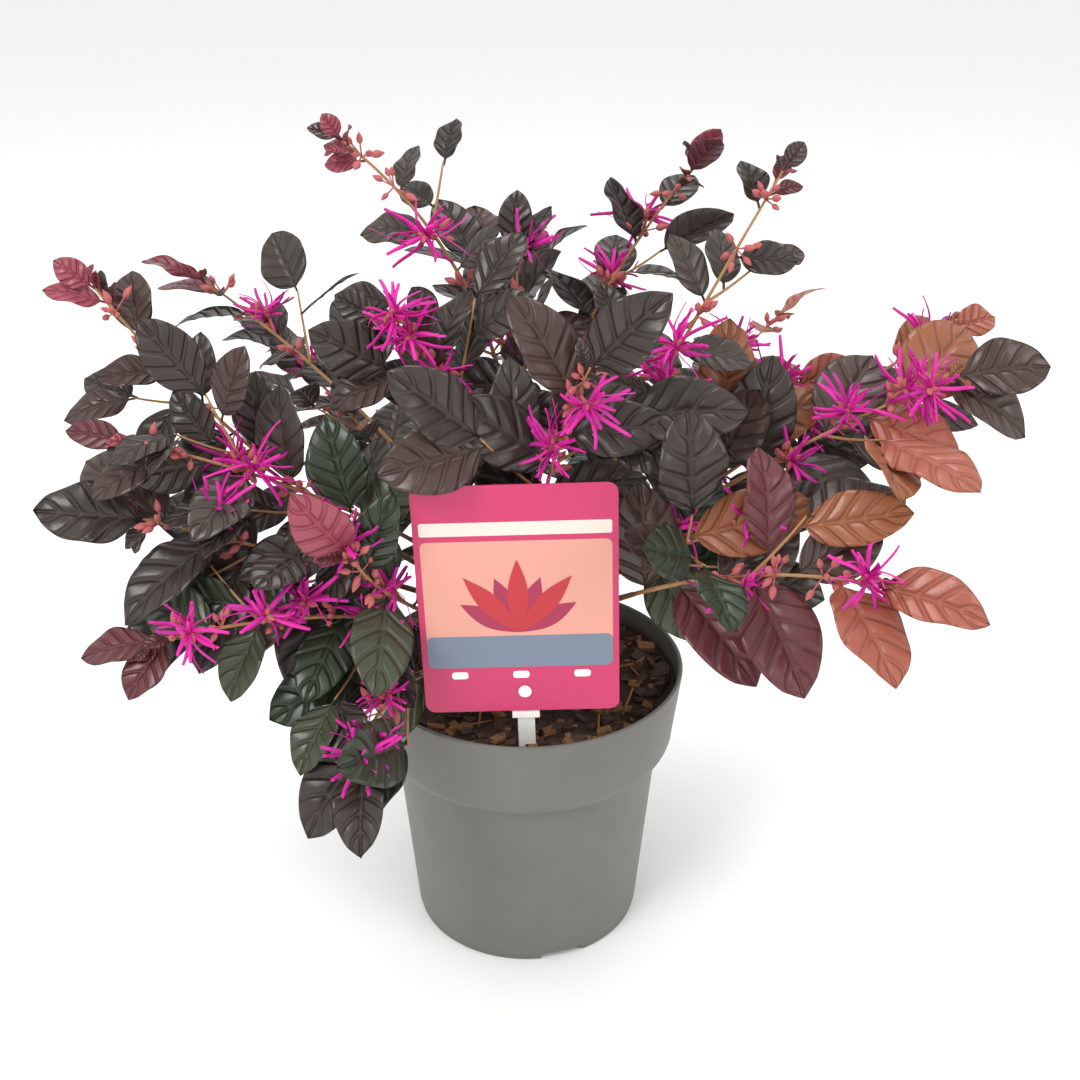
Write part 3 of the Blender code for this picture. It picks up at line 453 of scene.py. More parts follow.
def petal_outline(x, z, turn, length, width):
    """A pointed oval from its foot, for the panel's fan."""
    outline = []
    for side in (1, -1):
        for j in range(ARC_STEPS * 2):
            share = j / (ARC_STEPS * 2)
            share = share if side > 0 else 1.0 - share
            across = side * width / 2 * math.sin(math.pi * share)
            outline.append((x + length * share * math.cos(turn) - across * math.sin(turn),
                            z + length * share * math.sin(turn) + across * math.cos(turn)))
    return outline


def print_area(skin, outline, layer, slot):
    """A flat area of ink, a hair proud of the card's face."""
    face = -CARD_THICKNESS / 2 - INK_STEP * layer
    points = [card_place @ Vector((x, face, z)) for x, z in outline]
    points += [card_place @ Vector((x, face + INK_THICKNESS, z)) for x, z in outline]
    count = len(outline)
    sides = [(j, j + count, (j + 1) % count + count, (j + 1) % count) for j in range(count)]
    faces = [tuple(range(count)), tuple(range(2 * count - 1, count - 1, -1))] + sides
    skin.add([tuple(p) for p in points], faces, slot)


INK_COLOURS = {
    "ink_cream": "#e6d6ca", "ink_peach": "#dd9a8a", "ink_red": "#b9262f", "ink_deep_pink": "#a01f4a",
    "ink_blue_grey": "#717c90", "ink_white": "#fbf7f5",
}
inks = {name: start_material(name, colour, INK_ROUGHNESS) for name, colour in INK_COLOURS.items()}
ink_place = {name: i for i, name in enumerate(INK_COLOURS)}
half_print = CARD_WIDTH / 2 - PRINT_MARGIN
print_skin = Skin()
for (low, high), corner, layer, ink in ((BAND_HEIGHTS, BAND_CORNER, 1, "ink_cream"),
                                        (PANEL_HEIGHTS, PANEL_CORNER, 1, "ink_peach"),
                                        (PANEL_FOOT_HEIGHTS, PANEL_CORNER, 2, "ink_blue_grey")):
    print_area(print_skin, round_box(-half_print, half_print, low, high, corner), layer, ink_place[ink])
for i in range(FAN_PETALS):
    fan = math.radians(FAN_START - FAN_STEP * i)
    petal = petal_outline(0.0, FAN_HEIGHT, fan, FAN_LENGTHS[i % 2], FAN_PETAL_WIDTH)
    print_area(print_skin, petal, 3 + i % 2, ink_place[FAN_INKS[i % 2]])
for middle in (-TAB_SPACING, 0.0, TAB_SPACING):
    print_area(print_skin, round_box(middle - TAB_HALF_WIDTH, middle + TAB_HALF_WIDTH, *TAB_HEIGHTS,
                                     TAB_CORNER), 1, ink_place["ink_white"])
add_piece("label_print", print_skin.mesh("label_print", smooth=False), "label", *inks.values())

# Trunk and boughs
# The woody frame of a young shrub: one short stem that divides low down into many thin boughs. The
# thin bark is tan-brown, finely fissured, and paler on the younger wood.
TRUNK_HEIGHT = 0.060
TRUNK_LEAN = Vector((0.004, 0.003, 0.0))
LEAN_POWER = 1.5
FLARE_RADIUS = 0.0105
FLARE_HEIGHT = 0.012
TRUNK_RADIUS = 0.0062
FORK_RADIUS = 0.0048
BOUGH_RADIUS = 0.0021
BOUGH_TIP_RADIUS = 0.0014
STEM_RADIUS = 0.0012
STEM_TIP_RADIUS = 0.0006
# The hair's breadth that the solids keep between two pieces that touch
GAP = 0.0003
# Where boughs may leave the trunk: heights above the soil, and turns away from their own side
ROOT_LOWEST = 0.016
ROOT_HIGHEST = 0.057
ROOT_STEPS = 16
ROOT_TURNS = (0.0, 0.4, -0.4)
STEEP = 0.93
CLEAR_POINTS = 24
CLEAR_STEPS = 4
SPLIT = 0.32
BARK_RELIEF = 0.05
TRUNK_RINGS = 40
TRUNK_SIDES = 20
BOUGH_RINGS = 18
BOUGH_SIDES = 9

# The shoots, as in the solids: name, half way, tip, then leaf size, distance between leaves, how much
# shorter the youngest leaves are, side twigs, blossom, seed, the tones of old and young leaves, and
# the age from which a leaf has the young tone.
Shoot = namedtuple("Shoot", "name middle tip leaf spacing young twigs blossom seed old fresh turns")
SHOOTS = [Shoot(*row) for row in (
    ("tall_left", (-0.020, 0.020, 0.335), (-0.086, 0.020, 0.428),
     0.040, 0.023, 0.6, 2, (0.72,), 160, "bronze", "crimson", 0.70),
    ("far_left_high", (-0.110, -0.020, 0.265), (-0.200, -0.020, 0.368),
     0.046, 0.021, 0.4, 3, (0.62,), 81, "bronze", "crimson", 0.82),
    ("back_left_high", (-0.085, 0.070, 0.265), (-0.175, 0.090, 0.340),
     0.050, 0.021, 0.2, 2, (0.8,), 129, "bronze", "crimson", 0.95),
    ("left_middle", (-0.090, -0.030, 0.260), (-0.185, -0.050, 0.303),
     0.052, 0.020, 0.3, 2, (0.72, 0.88), 182, "bronze", "crimson", 0.88),
    ("left_low", (-0.095, -0.045, 0.235), (-0.180, -0.060, 0.268),
     0.064, 0.022, 0.1, 2, (0.55,), 116, "bronze", "bronze", 1.20),
    ("lower_left", (-0.075, -0.060, 0.215), (-0.170, -0.100, 0.225),
     0.050, 0.021, 0.2, 2, (0.52, 0.66), 101, "green", "bronze", 0.80),
    ("over_rim", (-0.056, -0.070, 0.184), (-0.075, -0.120, 0.172),
     0.062, 0.022, 0.1, 1, (0.6, 0.8, 0.97), 105, "green", "bronze", 1.20),
    ("front_left", (-0.055, -0.055, 0.218), (-0.080, -0.085, 0.262),
     0.060, 0.020, 0.3, 2, (0.7,), 110, "green", "crimson", 0.90),
    ("centre_left", (-0.025, -0.020, 0.300), (-0.068, -0.020, 0.352),
     0.052, 0.020, 0.4, 2, (0.8, 0.96), 133, "bronze", "crimson", 1.05),
    ("top_centre", (0.000, 0.010, 0.290), (-0.005, 0.035, 0.370),
     0.054, 0.020, 0.3, 2, (0.95,), 183, "bronze", "bronze", 1.20),
    ("front_centre", (0.010, -0.045, 0.275), (0.030, -0.065, 0.345),
     0.060, 0.020, 0.2, 2, (0.7, 0.9), 60, "bronze", "bronze", 1.20),
    ("tall_right_inner", (0.020, 0.045, 0.300), (0.084, 0.060, 0.406),
     0.052, 0.022, 0.4, 2, (0.7, 0.85), 33, "bronze", "crimson", 0.92),
    ("tall_right", (0.055, -0.015, 0.300), (0.120, 0.000, 0.418),
     0.044, 0.025, 0.5, 2, (0.66, 0.58), 1, "bronze", "crimson", 0.72),
    ("right_middle", (0.075, 0.015, 0.255), (0.140, 0.030, 0.300),
     0.052, 0.020, 0.3, 2, (0.6, 0.8), 119, "bronze", "salmon", 0.95),
    ("right_high", (0.120, 0.025, 0.265), (0.220, 0.040, 0.328),
     0.048, 0.021, 0.3, 2, (0.7, 0.9), 193, "bronze", "salmon", 0.45),
    ("right", (0.105, -0.020, 0.270), (0.208, -0.020, 0.325),
     0.062, 0.021, 0.1, 2, (0.75, 0.92), 147, "bronze", "salmon", 0.50),
    ("low_right", (0.080, -0.070, 0.240), (0.155, -0.115, 0.262),
     0.062, 0.021, 0.1, 2, (0.95,), 119, "red", "salmon", 0.60),
    ("front_right", (0.062, -0.045, 0.240), (0.112, -0.070, 0.270),
     0.058, 0.020, 0.3, 2, (0.5, 0.7), 73, "green", "bronze", 1.20),
    ("back_left", (-0.075, 0.085, 0.235), (-0.150, 0.150, 0.285),
     0.052, 0.022, 0.3, 2, (0.8,), 63, "bronze", "crimson", 0.90),
    ("back", (-0.010, 0.095, 0.265), (-0.025, 0.185, 0.335),
     0.052, 0.022, 0.3, 2, (0.8,), 63, "bronze", "crimson", 0.90),
    ("back_right", (0.075, 0.090, 0.245), (0.150, 0.155, 0.300),
     0.052, 0.022, 0.3, 2, (0.8,), 27, "bronze", "salmon", 0.80),
    ("back_low_left", (-0.055, 0.080, 0.200), (-0.090, 0.175, 0.215),
     0.054, 0.022, 0.2, 2, (0.9,), 153, "green", "bronze", 1.20),
    ("back_low_right", (0.060, 0.080, 0.200), (0.105, 0.165, 0.225),
     0.054, 0.022, 0.2, 2, (0.9,), 133, "green", "bronze", 1.20),
)]


def trunk_axis(height):
    """The trunk's middle at a height above the soil. It leans a little more towards the top."""
    lean = (height / TRUNK_HEIGHT) ** LEAN_POWER
    return Vector((TRUNK_LEAN.x * lean, TRUNK_LEAN.y * lean, SOIL_LEVEL + GAP + height))


def trunk_radius(height):
    """The trunk's radius at a height above the soil, with the flare of its roots."""
    if height < FLARE_HEIGHT:
        return TRUNK_RADIUS + (FLARE_RADIUS - TRUNK_RADIUS) * (1.0 - height / FLARE_HEIGHT) ** 2
    share = (height - FLARE_HEIGHT) / (TRUNK_HEIGHT - FLARE_HEIGHT)
    return TRUNK_RADIUS + (FORK_RADIUS - TRUNK_RADIUS) * share


def parabola(start, middle, end, share):
    """A place on the arch that runs from start to end through middle, half way."""
    pull = middle * 2.0 - (start + end) / 2.0
    rest = 1.0 - share
    return start * rest * rest + pull * (2.0 * share * rest) + end * (share * share)


def shoot_root(shoot, height, turn=0.0):
    """Where a bough leaves the trunk: on the side that it grows to, or on top if it is steep."""
    axis = trunk_axis(height)
    middle = Vector(shoot.middle)
    outward = Vector((middle.x - axis.x, middle.y - axis.y, 0.0)).normalized()
    outward.rotate(Matrix.Rotation(turn, 3, "Z"))
    rise = max((middle - axis).normalized().z, 0.0)
    level = math.sqrt(1.0 - rise * rise)
    if height >= TRUNK_HEIGHT:
        rise_clear = Vector((0.0, 0.0, GAP + BOUGH_RADIUS * level))
        return axis + outward * (BOUGH_RADIUS + GAP * 2) + rise_clear
    return axis + outward * (trunk_radius(height) + GAP + BOUGH_RADIUS * rise)


def path(shoot, root, first, last, count):
    """Places along a shoot's arch, between two shares of it."""
    middle = Vector(shoot.middle)
    tip = Vector(shoot.tip)
    return [parabola(root, middle, tip, first + (last - first) * i / (count - 1)) for i in range(count)]


def apart(points, others, distance):
    """True where a line of points stays this far from all the other stretches."""
    for a, b in zip(points, points[1:]):
        for step in range(CLEAR_STEPS):
            place = a.lerp(b, step / CLEAR_STEPS)
            for c, d in others:
                along = d - c
                share = max(0.0, min(1.0, (place - c).dot(along) / along.length_squared))
                if (place - c - along * share).length < distance:
                    return False
    return True


def steepness(shoot):
    """How steeply a shoot leaves the trunk, from 0, level, to 1, upright."""
    return max((Vector(shoot.middle) - trunk_axis(TRUNK_HEIGHT / 2)).normalized().z, 0.0)


def choose_roots():
    """Give each bough the first place on the trunk from which it passes clear of the others."""
    roots = {}
    taken = []
    steps = [ROOT_LOWEST + (ROOT_HIGHEST - ROOT_LOWEST) * i / ROOT_STEPS for i in range(ROOT_STEPS + 1)]
    for shoot in sorted(SHOOTS, key=lambda s: -steepness(s)):
        if steepness(shoot) > STEEP:
            heights = [TRUNK_HEIGHT] + steps[::-1]
        else:
            wished = ROOT_LOWEST + (ROOT_HIGHEST - ROOT_LOWEST) * steepness(shoot)
            heights = sorted(steps, key=lambda height: abs(height - wished))
        for turn, height in product(ROOT_TURNS, heights):
            root = shoot_root(shoot, height, turn)
            line = path(shoot, root, 0.0, 1.0, CLEAR_POINTS)
            if apart(line, taken, BOUGH_RADIUS * 2 + GAP * 2):
                break
        roots[shoot.name] = root
        taken += list(zip(line, line[1:]))
    return roots


def tapered(thick, thin, count):
    """Radii from thick to thin."""
    return [thick + (thin - thick) * i / (count - 1) for i in range(count)]


def spoke(side, other, turn):
    """The way out from a middle line at a turn round it."""
    return side * math.cos(turn) + other * math.sin(turn)


def frames_along(points):
    """Each point of a line, with two directions square to the line that don't twist round it."""
    side = None
    for i, point in enumerate(points):
        ahead = (points[min(i + 1, len(points) - 1)] - points[max(i - 1, 0)]).normalized()
        if side is None:
            side = ahead.orthogonal().normalized()
        side = (side - ahead * side.dot(ahead)).normalized()
        yield point, side, ahead.cross(side)


def tube_faces(first, rings, sides):
    """The faces of a tube of rings whose corners follow one another."""
    return [(a + j, a + (j + 1) % sides, a + sides + (j + 1) % sides, a + sides + j)
            for a in range(first, first + (rings - 1) * sides, sides) for j in range(sides)]


def limb(skin, points, radii, sides, draw, slot=0):
    """A round limb through points, its bark uneven by a share of its radius, closed at both ends."""
    rings = []
    for (point, side, other), radius in zip(frames_along(points), radii):
        for j in range(sides):
            reach = radius * (1.0 + draw.uniform(-BARK_RELIEF, BARK_RELIEF))
            rings.append(point + spoke(side, other, math.tau * j / sides) * reach)
    last = (len(points) - 1) * sides
    faces = [tuple(range(sides - 1, -1, -1)), *tube_faces(0, len(points), sides),
             tuple(range(last, last + sides))]
    skin.add([tuple(p) for p in rings], faces, slot)


# Thin bark: matt, tan-brown on old wood and warmer on young wood, with fine fissures.
old_bark = mottled("fissured_tan_bark", "#7a6144", 0.80, 0.004, "#5f4a34", "#95795a", 0.0005)
young_bark = mottled("smooth_young_bark", "#a37a4c", 0.65, 0.006, "#8a633c", "#b98d5c", 0.0002)

roots = choose_roots()
wood = Skin()
wood_draw = random.Random("bark")
heights = [TRUNK_HEIGHT * i / (TRUNK_RINGS - 1) for i in range(TRUNK_RINGS)]
limb(wood, [trunk_axis(h) for h in heights], [trunk_radius(h) for h in heights], TRUNK_SIDES, wood_draw)
for shoot in SHOOTS:
    line = path(shoot, roots[shoot.name], 0.0, SPLIT, BOUGH_RINGS)
    radii = tapered(BOUGH_RADIUS, BOUGH_TIP_RADIUS, BOUGH_RINGS)
    limb(wood, line, radii, BOUGH_SIDES, wood_draw)
woody_frame = add_piece("woody_frame", wood.mesh("woody_frame"), "bark", old_bark)
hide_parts("trunk", *["bough_" + shoot.name for shoot in SHOOTS])

# Young stems and side twigs
# Each bough runs on as a thin arching stem with short side twigs. They grow by the same seeded rule
# as the solids, and a twig is kept where the mass of its shoot has one.
STEM_POINTS = 7
TWIG_POINTS = 3
STEM_RINGS = 36
STEM_SIDES = 7
NODE_RINGS = 6
NODE_SWELLING = 1.18
TWIG_RINGS = 10
TWIG_SIDES = 6
TWIG_RADIUS = 0.0009
TWIG_TIP_RADIUS = 0.0005
TWIG_LENGTH = 0.055
TWIG_LENGTHS = (0.7, 1.1)
# How much shorter the twigs at a stem's tip are than at its foot
TWIG_SHORTENING = 0.4
TWIG_RISE = 0.12
TWIG_SPREAD = 0.4
TWIG_OPENING = (35.0, 60.0)
TWIG_LIFT = (-0.1, 0.25)
# The share of a stem that carries twigs
TWIG_REACH = 0.72
FIRST_LEAF = 0.008
FIRST_TWIG_LEAF = 0.012
BARE_END = 0.002
# How much the leaves look to the front, out and up. Shoots beyond the depth don't look to the front.
FRONT_DEPTH = 0.05
FRONT_BIAS = 0.6
OUT_BIAS = 0.40
UP_BIAS = 0.80
TRIES = 10
SOLID_TWIG_SIDES = 3
# How many corners a solid must have in common with a twig, a leaf or a tuft that it holds
TWIG_PROOF = 2
LEAF_PROOF = 3
TUFT_PROOF = 3
NEAR = 0.0005
# How deep a twig's foot and a last leaf are sunk in their stem
SINK = 0.0004
TIP_SINK = 0.001


def corner_tree(node):
    """The corners of a solid, for finding which leaves and twigs it holds."""
    corners = node.data.vertices
    tree = KDTree(len(corners))
    for i, corner in enumerate(corners):
        tree.insert(corner.co, i)
    tree.balance()
    return tree


def holds(tree, points, needed):
    """True where enough of these points are corners of the solid."""
    return sum(tree.find(point)[2] < NEAR for point in points) >= needed


def stem_nodes(points, spacing, start):
    """Places, directions and shares along a line of points, a spacing apart."""
    lengths = [0.0]
    for a, b in zip(points, points[1:]):
        lengths.append(lengths[-1] + (b - a).length)
    found = []
    where = start
    while where < lengths[-1] - BARE_END:
        i = max(j for j in range(len(lengths) - 1) if lengths[j] <= where)
        share = (where - lengths[i]) / (lengths[i + 1] - lengths[i])
        ahead = (points[i + 1] - points[i]).normalized()
        found.append((points[i].lerp(points[i + 1], share), ahead, where / lengths[-1]))
        where += spacing
    return found


def facing(shoot):
    """The way a shoot's leaves look: up, and out to the light on their own side of the shrub."""
    outward = Vector((shoot.tip[0], shoot.tip[1], 0.0))
    outward.normalize()
    front = FRONT_BIAS if shoot.tip[1] < FRONT_DEPTH else 0.0
    return Vector((outward.x * OUT_BIAS, outward.y * OUT_BIAS - front, UP_BIAS)).normalized()


def shake(draw, amount):
    """A small step any way, up to this much along each axis."""
    return Vector([draw.uniform(-amount, amount) for _ in range(3)])


def find_twig(shoot, index, base, ahead, side, share, tree):
    """The side twig that the mass holds at this node, or nothing."""
    radii = tapered(TWIG_RADIUS, TWIG_TIP_RADIUS, TWIG_POINTS)
    for attempt in range(TRIES):
        draw = random.Random("%s %d twig %d %d" % (shoot.name, shoot.seed, index, attempt))
        face = facing(shoot) + shake(draw, TWIG_SPREAD)
        beside = ahead.cross(face).normalized() * -side
        opening = math.radians(draw.uniform(*TWIG_OPENING))
        axis = ahead * math.cos(opening) + beside * math.sin(opening)
        axis.z += draw.uniform(*TWIG_LIFT)
        axis.normalize()
        length = TWIG_LENGTH * draw.uniform(*TWIG_LENGTHS) * (1.0 - TWIG_SHORTENING * share)
        line = []
        for i in range(TWIG_POINTS):
            share_out = i / (TWIG_POINTS - 1)
            rise = Vector((0.0, 0.0, TWIG_RISE * length * share_out ** 2))
            line.append(base + axis * (length * share_out) + rise)
        line[0] = base - axis * SINK
        corners = [point + spoke(across, other, math.tau * j / SOLID_TWIG_SIDES) * radius
                   for (point, across, other), radius in zip(frames_along(line), radii)
                   for j in range(SOLID_TWIG_SIDES)]
        if holds(tree, corners[SOLID_TWIG_SIDES:], TWIG_PROOF):
            return line
    return None


def smooth_line(points, count):
    """A finer line through three points."""
    return [parabola(*points, i / (count - 1)) for i in range(count)]


# Leaves
# Leathery oval leaves on short stalks. The midrib and five pairs of side veins lie sunken, so the
# blade is quilted. Old leaves are dark bronze to green, young ones crimson or salmon.
LEAF_ASPECT = 0.58
LEAF_LENGTHS = (0.80, 1.05)
SHORTENING_POWER = 1.5
LEAF_WIDTHS = (0.88, 1.10)
LEAF_STALK = 0.004
LEAF_ARCH = 0.10
LEAF_OPENING = (48.0, 72.0)
YOUNG_OPENING = 0.45
DROOP = (0.05, 0.55)
YOUNG_DROOP = 0.7
# Each further try at a leaf lets it stray more.
LEAF_SPREAD = 0.25
SPREAD_GROWTH = 0.12
LEAF_UNREST = 0.15
UNREST_GROWTH = 0.4
LEAST_FACING = 0.2
# The shoulders of a leaf of the solids: share of its length, and breadth there as a share of its width
SHOULDERS = ((0.30, 0.93), (0.70, 0.86))
LEAF_ROWS = 40
LEAF_COLUMNS = 12
UNDERSIDE_STEP = 3
SMALL_LEAF_ROWS = 14
SMALL_LEAF_COLUMNS = 6
BLADE_THICKNESS = 0.00035
OVAL_SKEW = 0.88
OVAL_FULLNESS = 0.62
POINT_SLOPE = 4.2
POINT_WIDTH = 0.02
FULL_LENGTH = 0.055
FOLD = (-0.05, 0.28)
CURL_FOLD = 0.35
CUP = 0.10
TIP_FALL = 0.22
TIP_FALL_START = 0.55
WAVE = (0.01, 0.035)
WAVES = (1.2, 2.4)
SIDE_BEND = 0.05
VEIN_PAIRS = 5.0
VEIN_SLANT = 0.24
VEIN_START = 0.08
QUILT = 0.0007
MIDRIB_DEPTH = 0.0009
MIDRIB_WIDTH = 0.0013
STALK_HALF_WIDTH = 0.0006

Leaf = namedtuple("Leaf", "base axis across normal length width")


def place_leaf(shoot, key, base, ahead, side, age, attempt):
    """One leaf at a node. The age runs from 0, old and full grown, to 1, the youngest at the tip."""
    draw = random.Random("%s %d %s %d" % (shoot.name, shoot.seed, key, attempt))
    face = facing(shoot) + shake(draw, LEAF_SPREAD + SPREAD_GROWTH * attempt)
    flat = face - ahead * face.dot(ahead)
    if flat.length < LEAST_FACING:
        flat = ahead.orthogonal()
    flat.normalize()
    beside = ahead.cross(flat) * side
    opening = math.radians(draw.uniform(*LEAF_OPENING) * (1.0 - YOUNG_OPENING * age))
    axis = ahead * math.cos(opening) + beside * math.sin(opening)
    axis.z -= draw.uniform(*DROOP) * (1.0 - YOUNG_DROOP * age)
    axis += shake(draw, LEAF_UNREST * (1.0 + UNREST_GROWTH * attempt))
    axis.normalize()
    across = axis.cross(face).normalized()
    normal = across.cross(axis).normalized()
    size = shoot.leaf * (1.0 - shoot.young * age ** SHORTENING_POWER) * draw.uniform(*LEAF_LENGTHS)
    return Leaf(base, axis, across, normal, size, size * LEAF_ASPECT * draw.uniform(*LEAF_WIDTHS))


def leaf_corners(leaf):
    """The solid leaf's tip and its four shoulders."""
    def midrib(share):
        return leaf.base + leaf.axis * (leaf.length * share) - leaf.normal * (
            leaf.length * LEAF_ARCH * share * share)
    corners = [midrib(1.0)]
    for share, breadth in SHOULDERS:
        for side in (-1, 1):
            corners.append(midrib(share) + leaf.across * (side * breadth * leaf.width / 2))
    return corners


def grid_faces(rows, columns, step):
    """The faces of a thin closed sheet: a top grid, a coarser one below it, and a wall round the edge."""
    wide = columns + 1
    lower = columns // step + 1
    below = (rows + 1) * wide
    faces = []
    for i in range(rows):
        for j in range(columns):
            a = i * wide + j
            faces.append((a, a + 1, a + wide + 1, a + wide))
        for j in range(lower - 1):
            a = below + i * lower + j
            faces.append((a, a + lower, a + lower + 1, a + 1))
        left, right = i * wide, i * wide + columns
        low_left, low_right = below + i * lower, below + i * lower + lower - 1
        faces.append((left, left + wide, low_left + lower, low_left))
        faces.append((right + wide, right, low_right, low_right + lower))
    foot = list(range(wide)) + [below + j for j in range(lower - 1, -1, -1)]
    faces.append(tuple(foot[::-1]))
    faces.append(tuple([rows * wide + j for j in range(wide)]
                       + [below + rows * lower + j for j in range(lower - 1, -1, -1)]))
    return faces


def sheet_grid(rows, columns, step):
    """The shares along and across a sheet, and its faces."""
    along, across = np.meshgrid(np.linspace(0.0, 1.0, rows + 1), np.linspace(-1.0, 1.0, columns + 1),
                                indexing="ij")
    return along, across, grid_faces(rows, columns, step), step


LEAF_GRID = sheet_grid(LEAF_ROWS, LEAF_COLUMNS, UNDERSIDE_STEP)
SMALL_LEAF_GRID = sheet_grid(SMALL_LEAF_ROWS, SMALL_LEAF_COLUMNS, UNDERSIDE_STEP)


def both_sides(points, normal, thickness, step):
    """The corners of a sheet's top grid, followed by those of its underside."""
    width = points.shape[-1]
    below = points[:, ::step] - normal * thickness
    return np.concatenate([points.reshape(-1, width), below.reshape(-1, width)])


def add_blade(skin, leaf, slot, draw, curl, grid):
    """A leaf blade: stalk, pointed oval outline, sunken veins, and its own arch, fold and wave."""
    row, column, faces, step = grid
    stalk = LEAF_STALK / leaf.length
    share = np.clip((row - stalk) / (1.0 - stalk), 0.0, 1.0)
    oval = np.sin(np.pi * share ** OVAL_SKEW) ** OVAL_FULLNESS
    oval = np.minimum(oval, POINT_SLOPE * (1.0 - share) + POINT_WIDTH)
    half = np.maximum(leaf.width / 2 * oval, STALK_HALF_WIDTH * (1.0 - share))
    x = column * half
    vein = np.abs(np.sin(np.pi * VEIN_PAIRS * (share - VEIN_SLANT * np.abs(column) + VEIN_START)))
    inside = (1.0 - np.abs(column) ** 3) * np.sin(np.pi * share)
    size = leaf.length / FULL_LENGTH
    z = QUILT * size * vein * inside
    z -= MIDRIB_DEPTH * size * np.exp(-(x / (MIDRIB_WIDTH * size)) ** 2) * inside
    z -= leaf.length * LEAF_ARCH * row ** 2
    fold = draw.uniform(*FOLD) + curl * CURL_FOLD
    z += fold * np.abs(x) * np.sin(np.pi * share) - draw.uniform(0.0, CUP) * x * x / (leaf.width / 2)
    fall = draw.uniform(0.0, TIP_FALL + curl) * leaf.length
    z -= fall * np.clip(row - TIP_FALL_START, 0.0, 1.0) ** 2
    wave = leaf.width * draw.uniform(*WAVE) * (1.0 + curl * 2.0)
    z += wave * column ** 2 * np.sin(math.tau * (share * draw.uniform(*WAVES) + draw.random()))
    bend = draw.uniform(-SIDE_BEND, SIDE_BEND) * leaf.length * row ** 2
    axis, across, normal = (np.array(v) for v in (leaf.axis, leaf.across, leaf.normal))
    points = (np.array(leaf.base) + axis * (leaf.length * row)[..., None]
              + across * (x + bend)[..., None] + normal * z[..., None])
    places = np.stack([column * 0.5 + 0.5, share], axis=-1)
    skin.add(both_sides(points, normal, BLADE_THICKNESS, step), faces, slot,
             both_sides(places, 0.0, 0.0, step))


# Leaf blades: leathery, with a soft sheen from the wax between the duller veins. Plain colours dealt
# out by shoot and age, as the real leaves turn with light and age.
LEAF_COLOURS = {
    "leaf_dark_bronze": "#342b25", "leaf_grey_bronze": "#443c36", "leaf_brown_bronze": "#43302a",
    "leaf_deep_green": "#26311f", "leaf_olive_green": "#3c402d", "leaf_deep_red": "#5f2c31",
    "leaf_crimson": "#93404f", "leaf_salmon": "#9a5340", "leaf_orange": "#8c5233",
}
TURN_SPREAD = (-0.08, 0.12)
UNEVEN_SIZE = 0.014
UNEVEN_RELIEF = 0.5
# How far the hollow of a vein and of the midrib reaches, in shares of a field and of the half breadth
VEIN_REACH = 0.24
MIDRIB_REACH = 0.16
VEIN_ROUGHNESS = 0.62
WAX_ROUGHNESS = 0.30


def calculate(material, operation, *values):
    """One step of arithmetic: each value is a number or what feeds it."""
    made = add_node(material, "ShaderNodeMath", {"operation": operation})
    for place, value in zip(made.inputs, values):
        if isinstance(value, (int, float)):
            place.default_value = value
        else:
            material.node_tree.links.new(value, place)
    return made.outputs[0]


def quilted(name, colour):
    """A leaf's material: sunken veins and waxy raised fields, drawn from the blade's own coordinates."""
    material = start_material(name, colour, WAX_ROUGHNESS)
    shares = add_node(material, "ShaderNodeUVMap", {"uv_map": "blade"})
    split = add_node(material, "ShaderNodeSeparateXYZ", (), {"Vector": shares.outputs["UV"]})
    out = calculate(material, "ABSOLUTE", calculate(material, "MULTIPLY_ADD", split.outputs["X"], 2.0, -1.0))
    along = calculate(material, "MULTIPLY_ADD", split.outputs["Y"], VEIN_PAIRS, VEIN_PAIRS * VEIN_START)
    slant = calculate(material, "MULTIPLY", out, VEIN_PAIRS * VEIN_SLANT)
    field = calculate(material, "PINGPONG", calculate(material, "SUBTRACT", along, slant), 0.5)
    place = add_node(material, "ShaderNodeTexCoord")
    noise = add_node(material, "ShaderNodeTexNoise", {"Scale": 1.0 / UNEVEN_SIZE, "Detail": 4.0},
                     {"Vector": place.outputs["Object"]})
    swell, groove = (add_node(material, "ShaderNodeMapRange",
                              {"interpolation_type": "SMOOTHSTEP", "From Max": reach}, {"Value": distance})
                     for reach, distance in ((VEIN_REACH, field), (MIDRIB_REACH, out)))
    height = calculate(material, "MULTIPLY", swell.outputs[0], groove.outputs[0])
    relief = calculate(material, "MULTIPLY_ADD", noise.outputs["Fac"], UNEVEN_RELIEF, height)
    bump = add_node(material, "ShaderNodeBump", {"Distance": 0.0014, "Strength": 0.85}, {"Height": relief})
    sheen = add_node(material, "ShaderNodeMapRange", {"To Min": VEIN_ROUGHNESS, "To Max": WAX_ROUGHNESS},
                     {"Value": height})
    feed(material, "Roughness", sheen.outputs[0])
    feed(material, "Normal", bump.outputs["Normal"])
    return material


leaf_place = {name: i for i, name in enumerate(LEAF_COLOURS)}
leaf_materials = [quilted(name, colour) for name, colour in LEAF_COLOURS.items()]
OLD_TONES = {
    "bronze": ("leaf_dark_bronze", "leaf_grey_bronze", "leaf_brown_bronze", "leaf_dark_bronze"),
    "green": ("leaf_deep_green", "leaf_dark_bronze", "leaf_deep_green", "leaf_olive_green"),
    "red": ("leaf_deep_red", "leaf_brown_bronze", "leaf_dark_bronze"),
}
FRESH_TONES = {
    "crimson": ("leaf_crimson", "leaf_deep_red", "leaf_crimson", "leaf_brown_bronze"),
    "salmon": ("leaf_salmon", "leaf_orange", "leaf_brown_bronze", "leaf_orange"),
    "bronze": ("leaf_brown_bronze", "leaf_deep_red", "leaf_grey_bronze"),
}


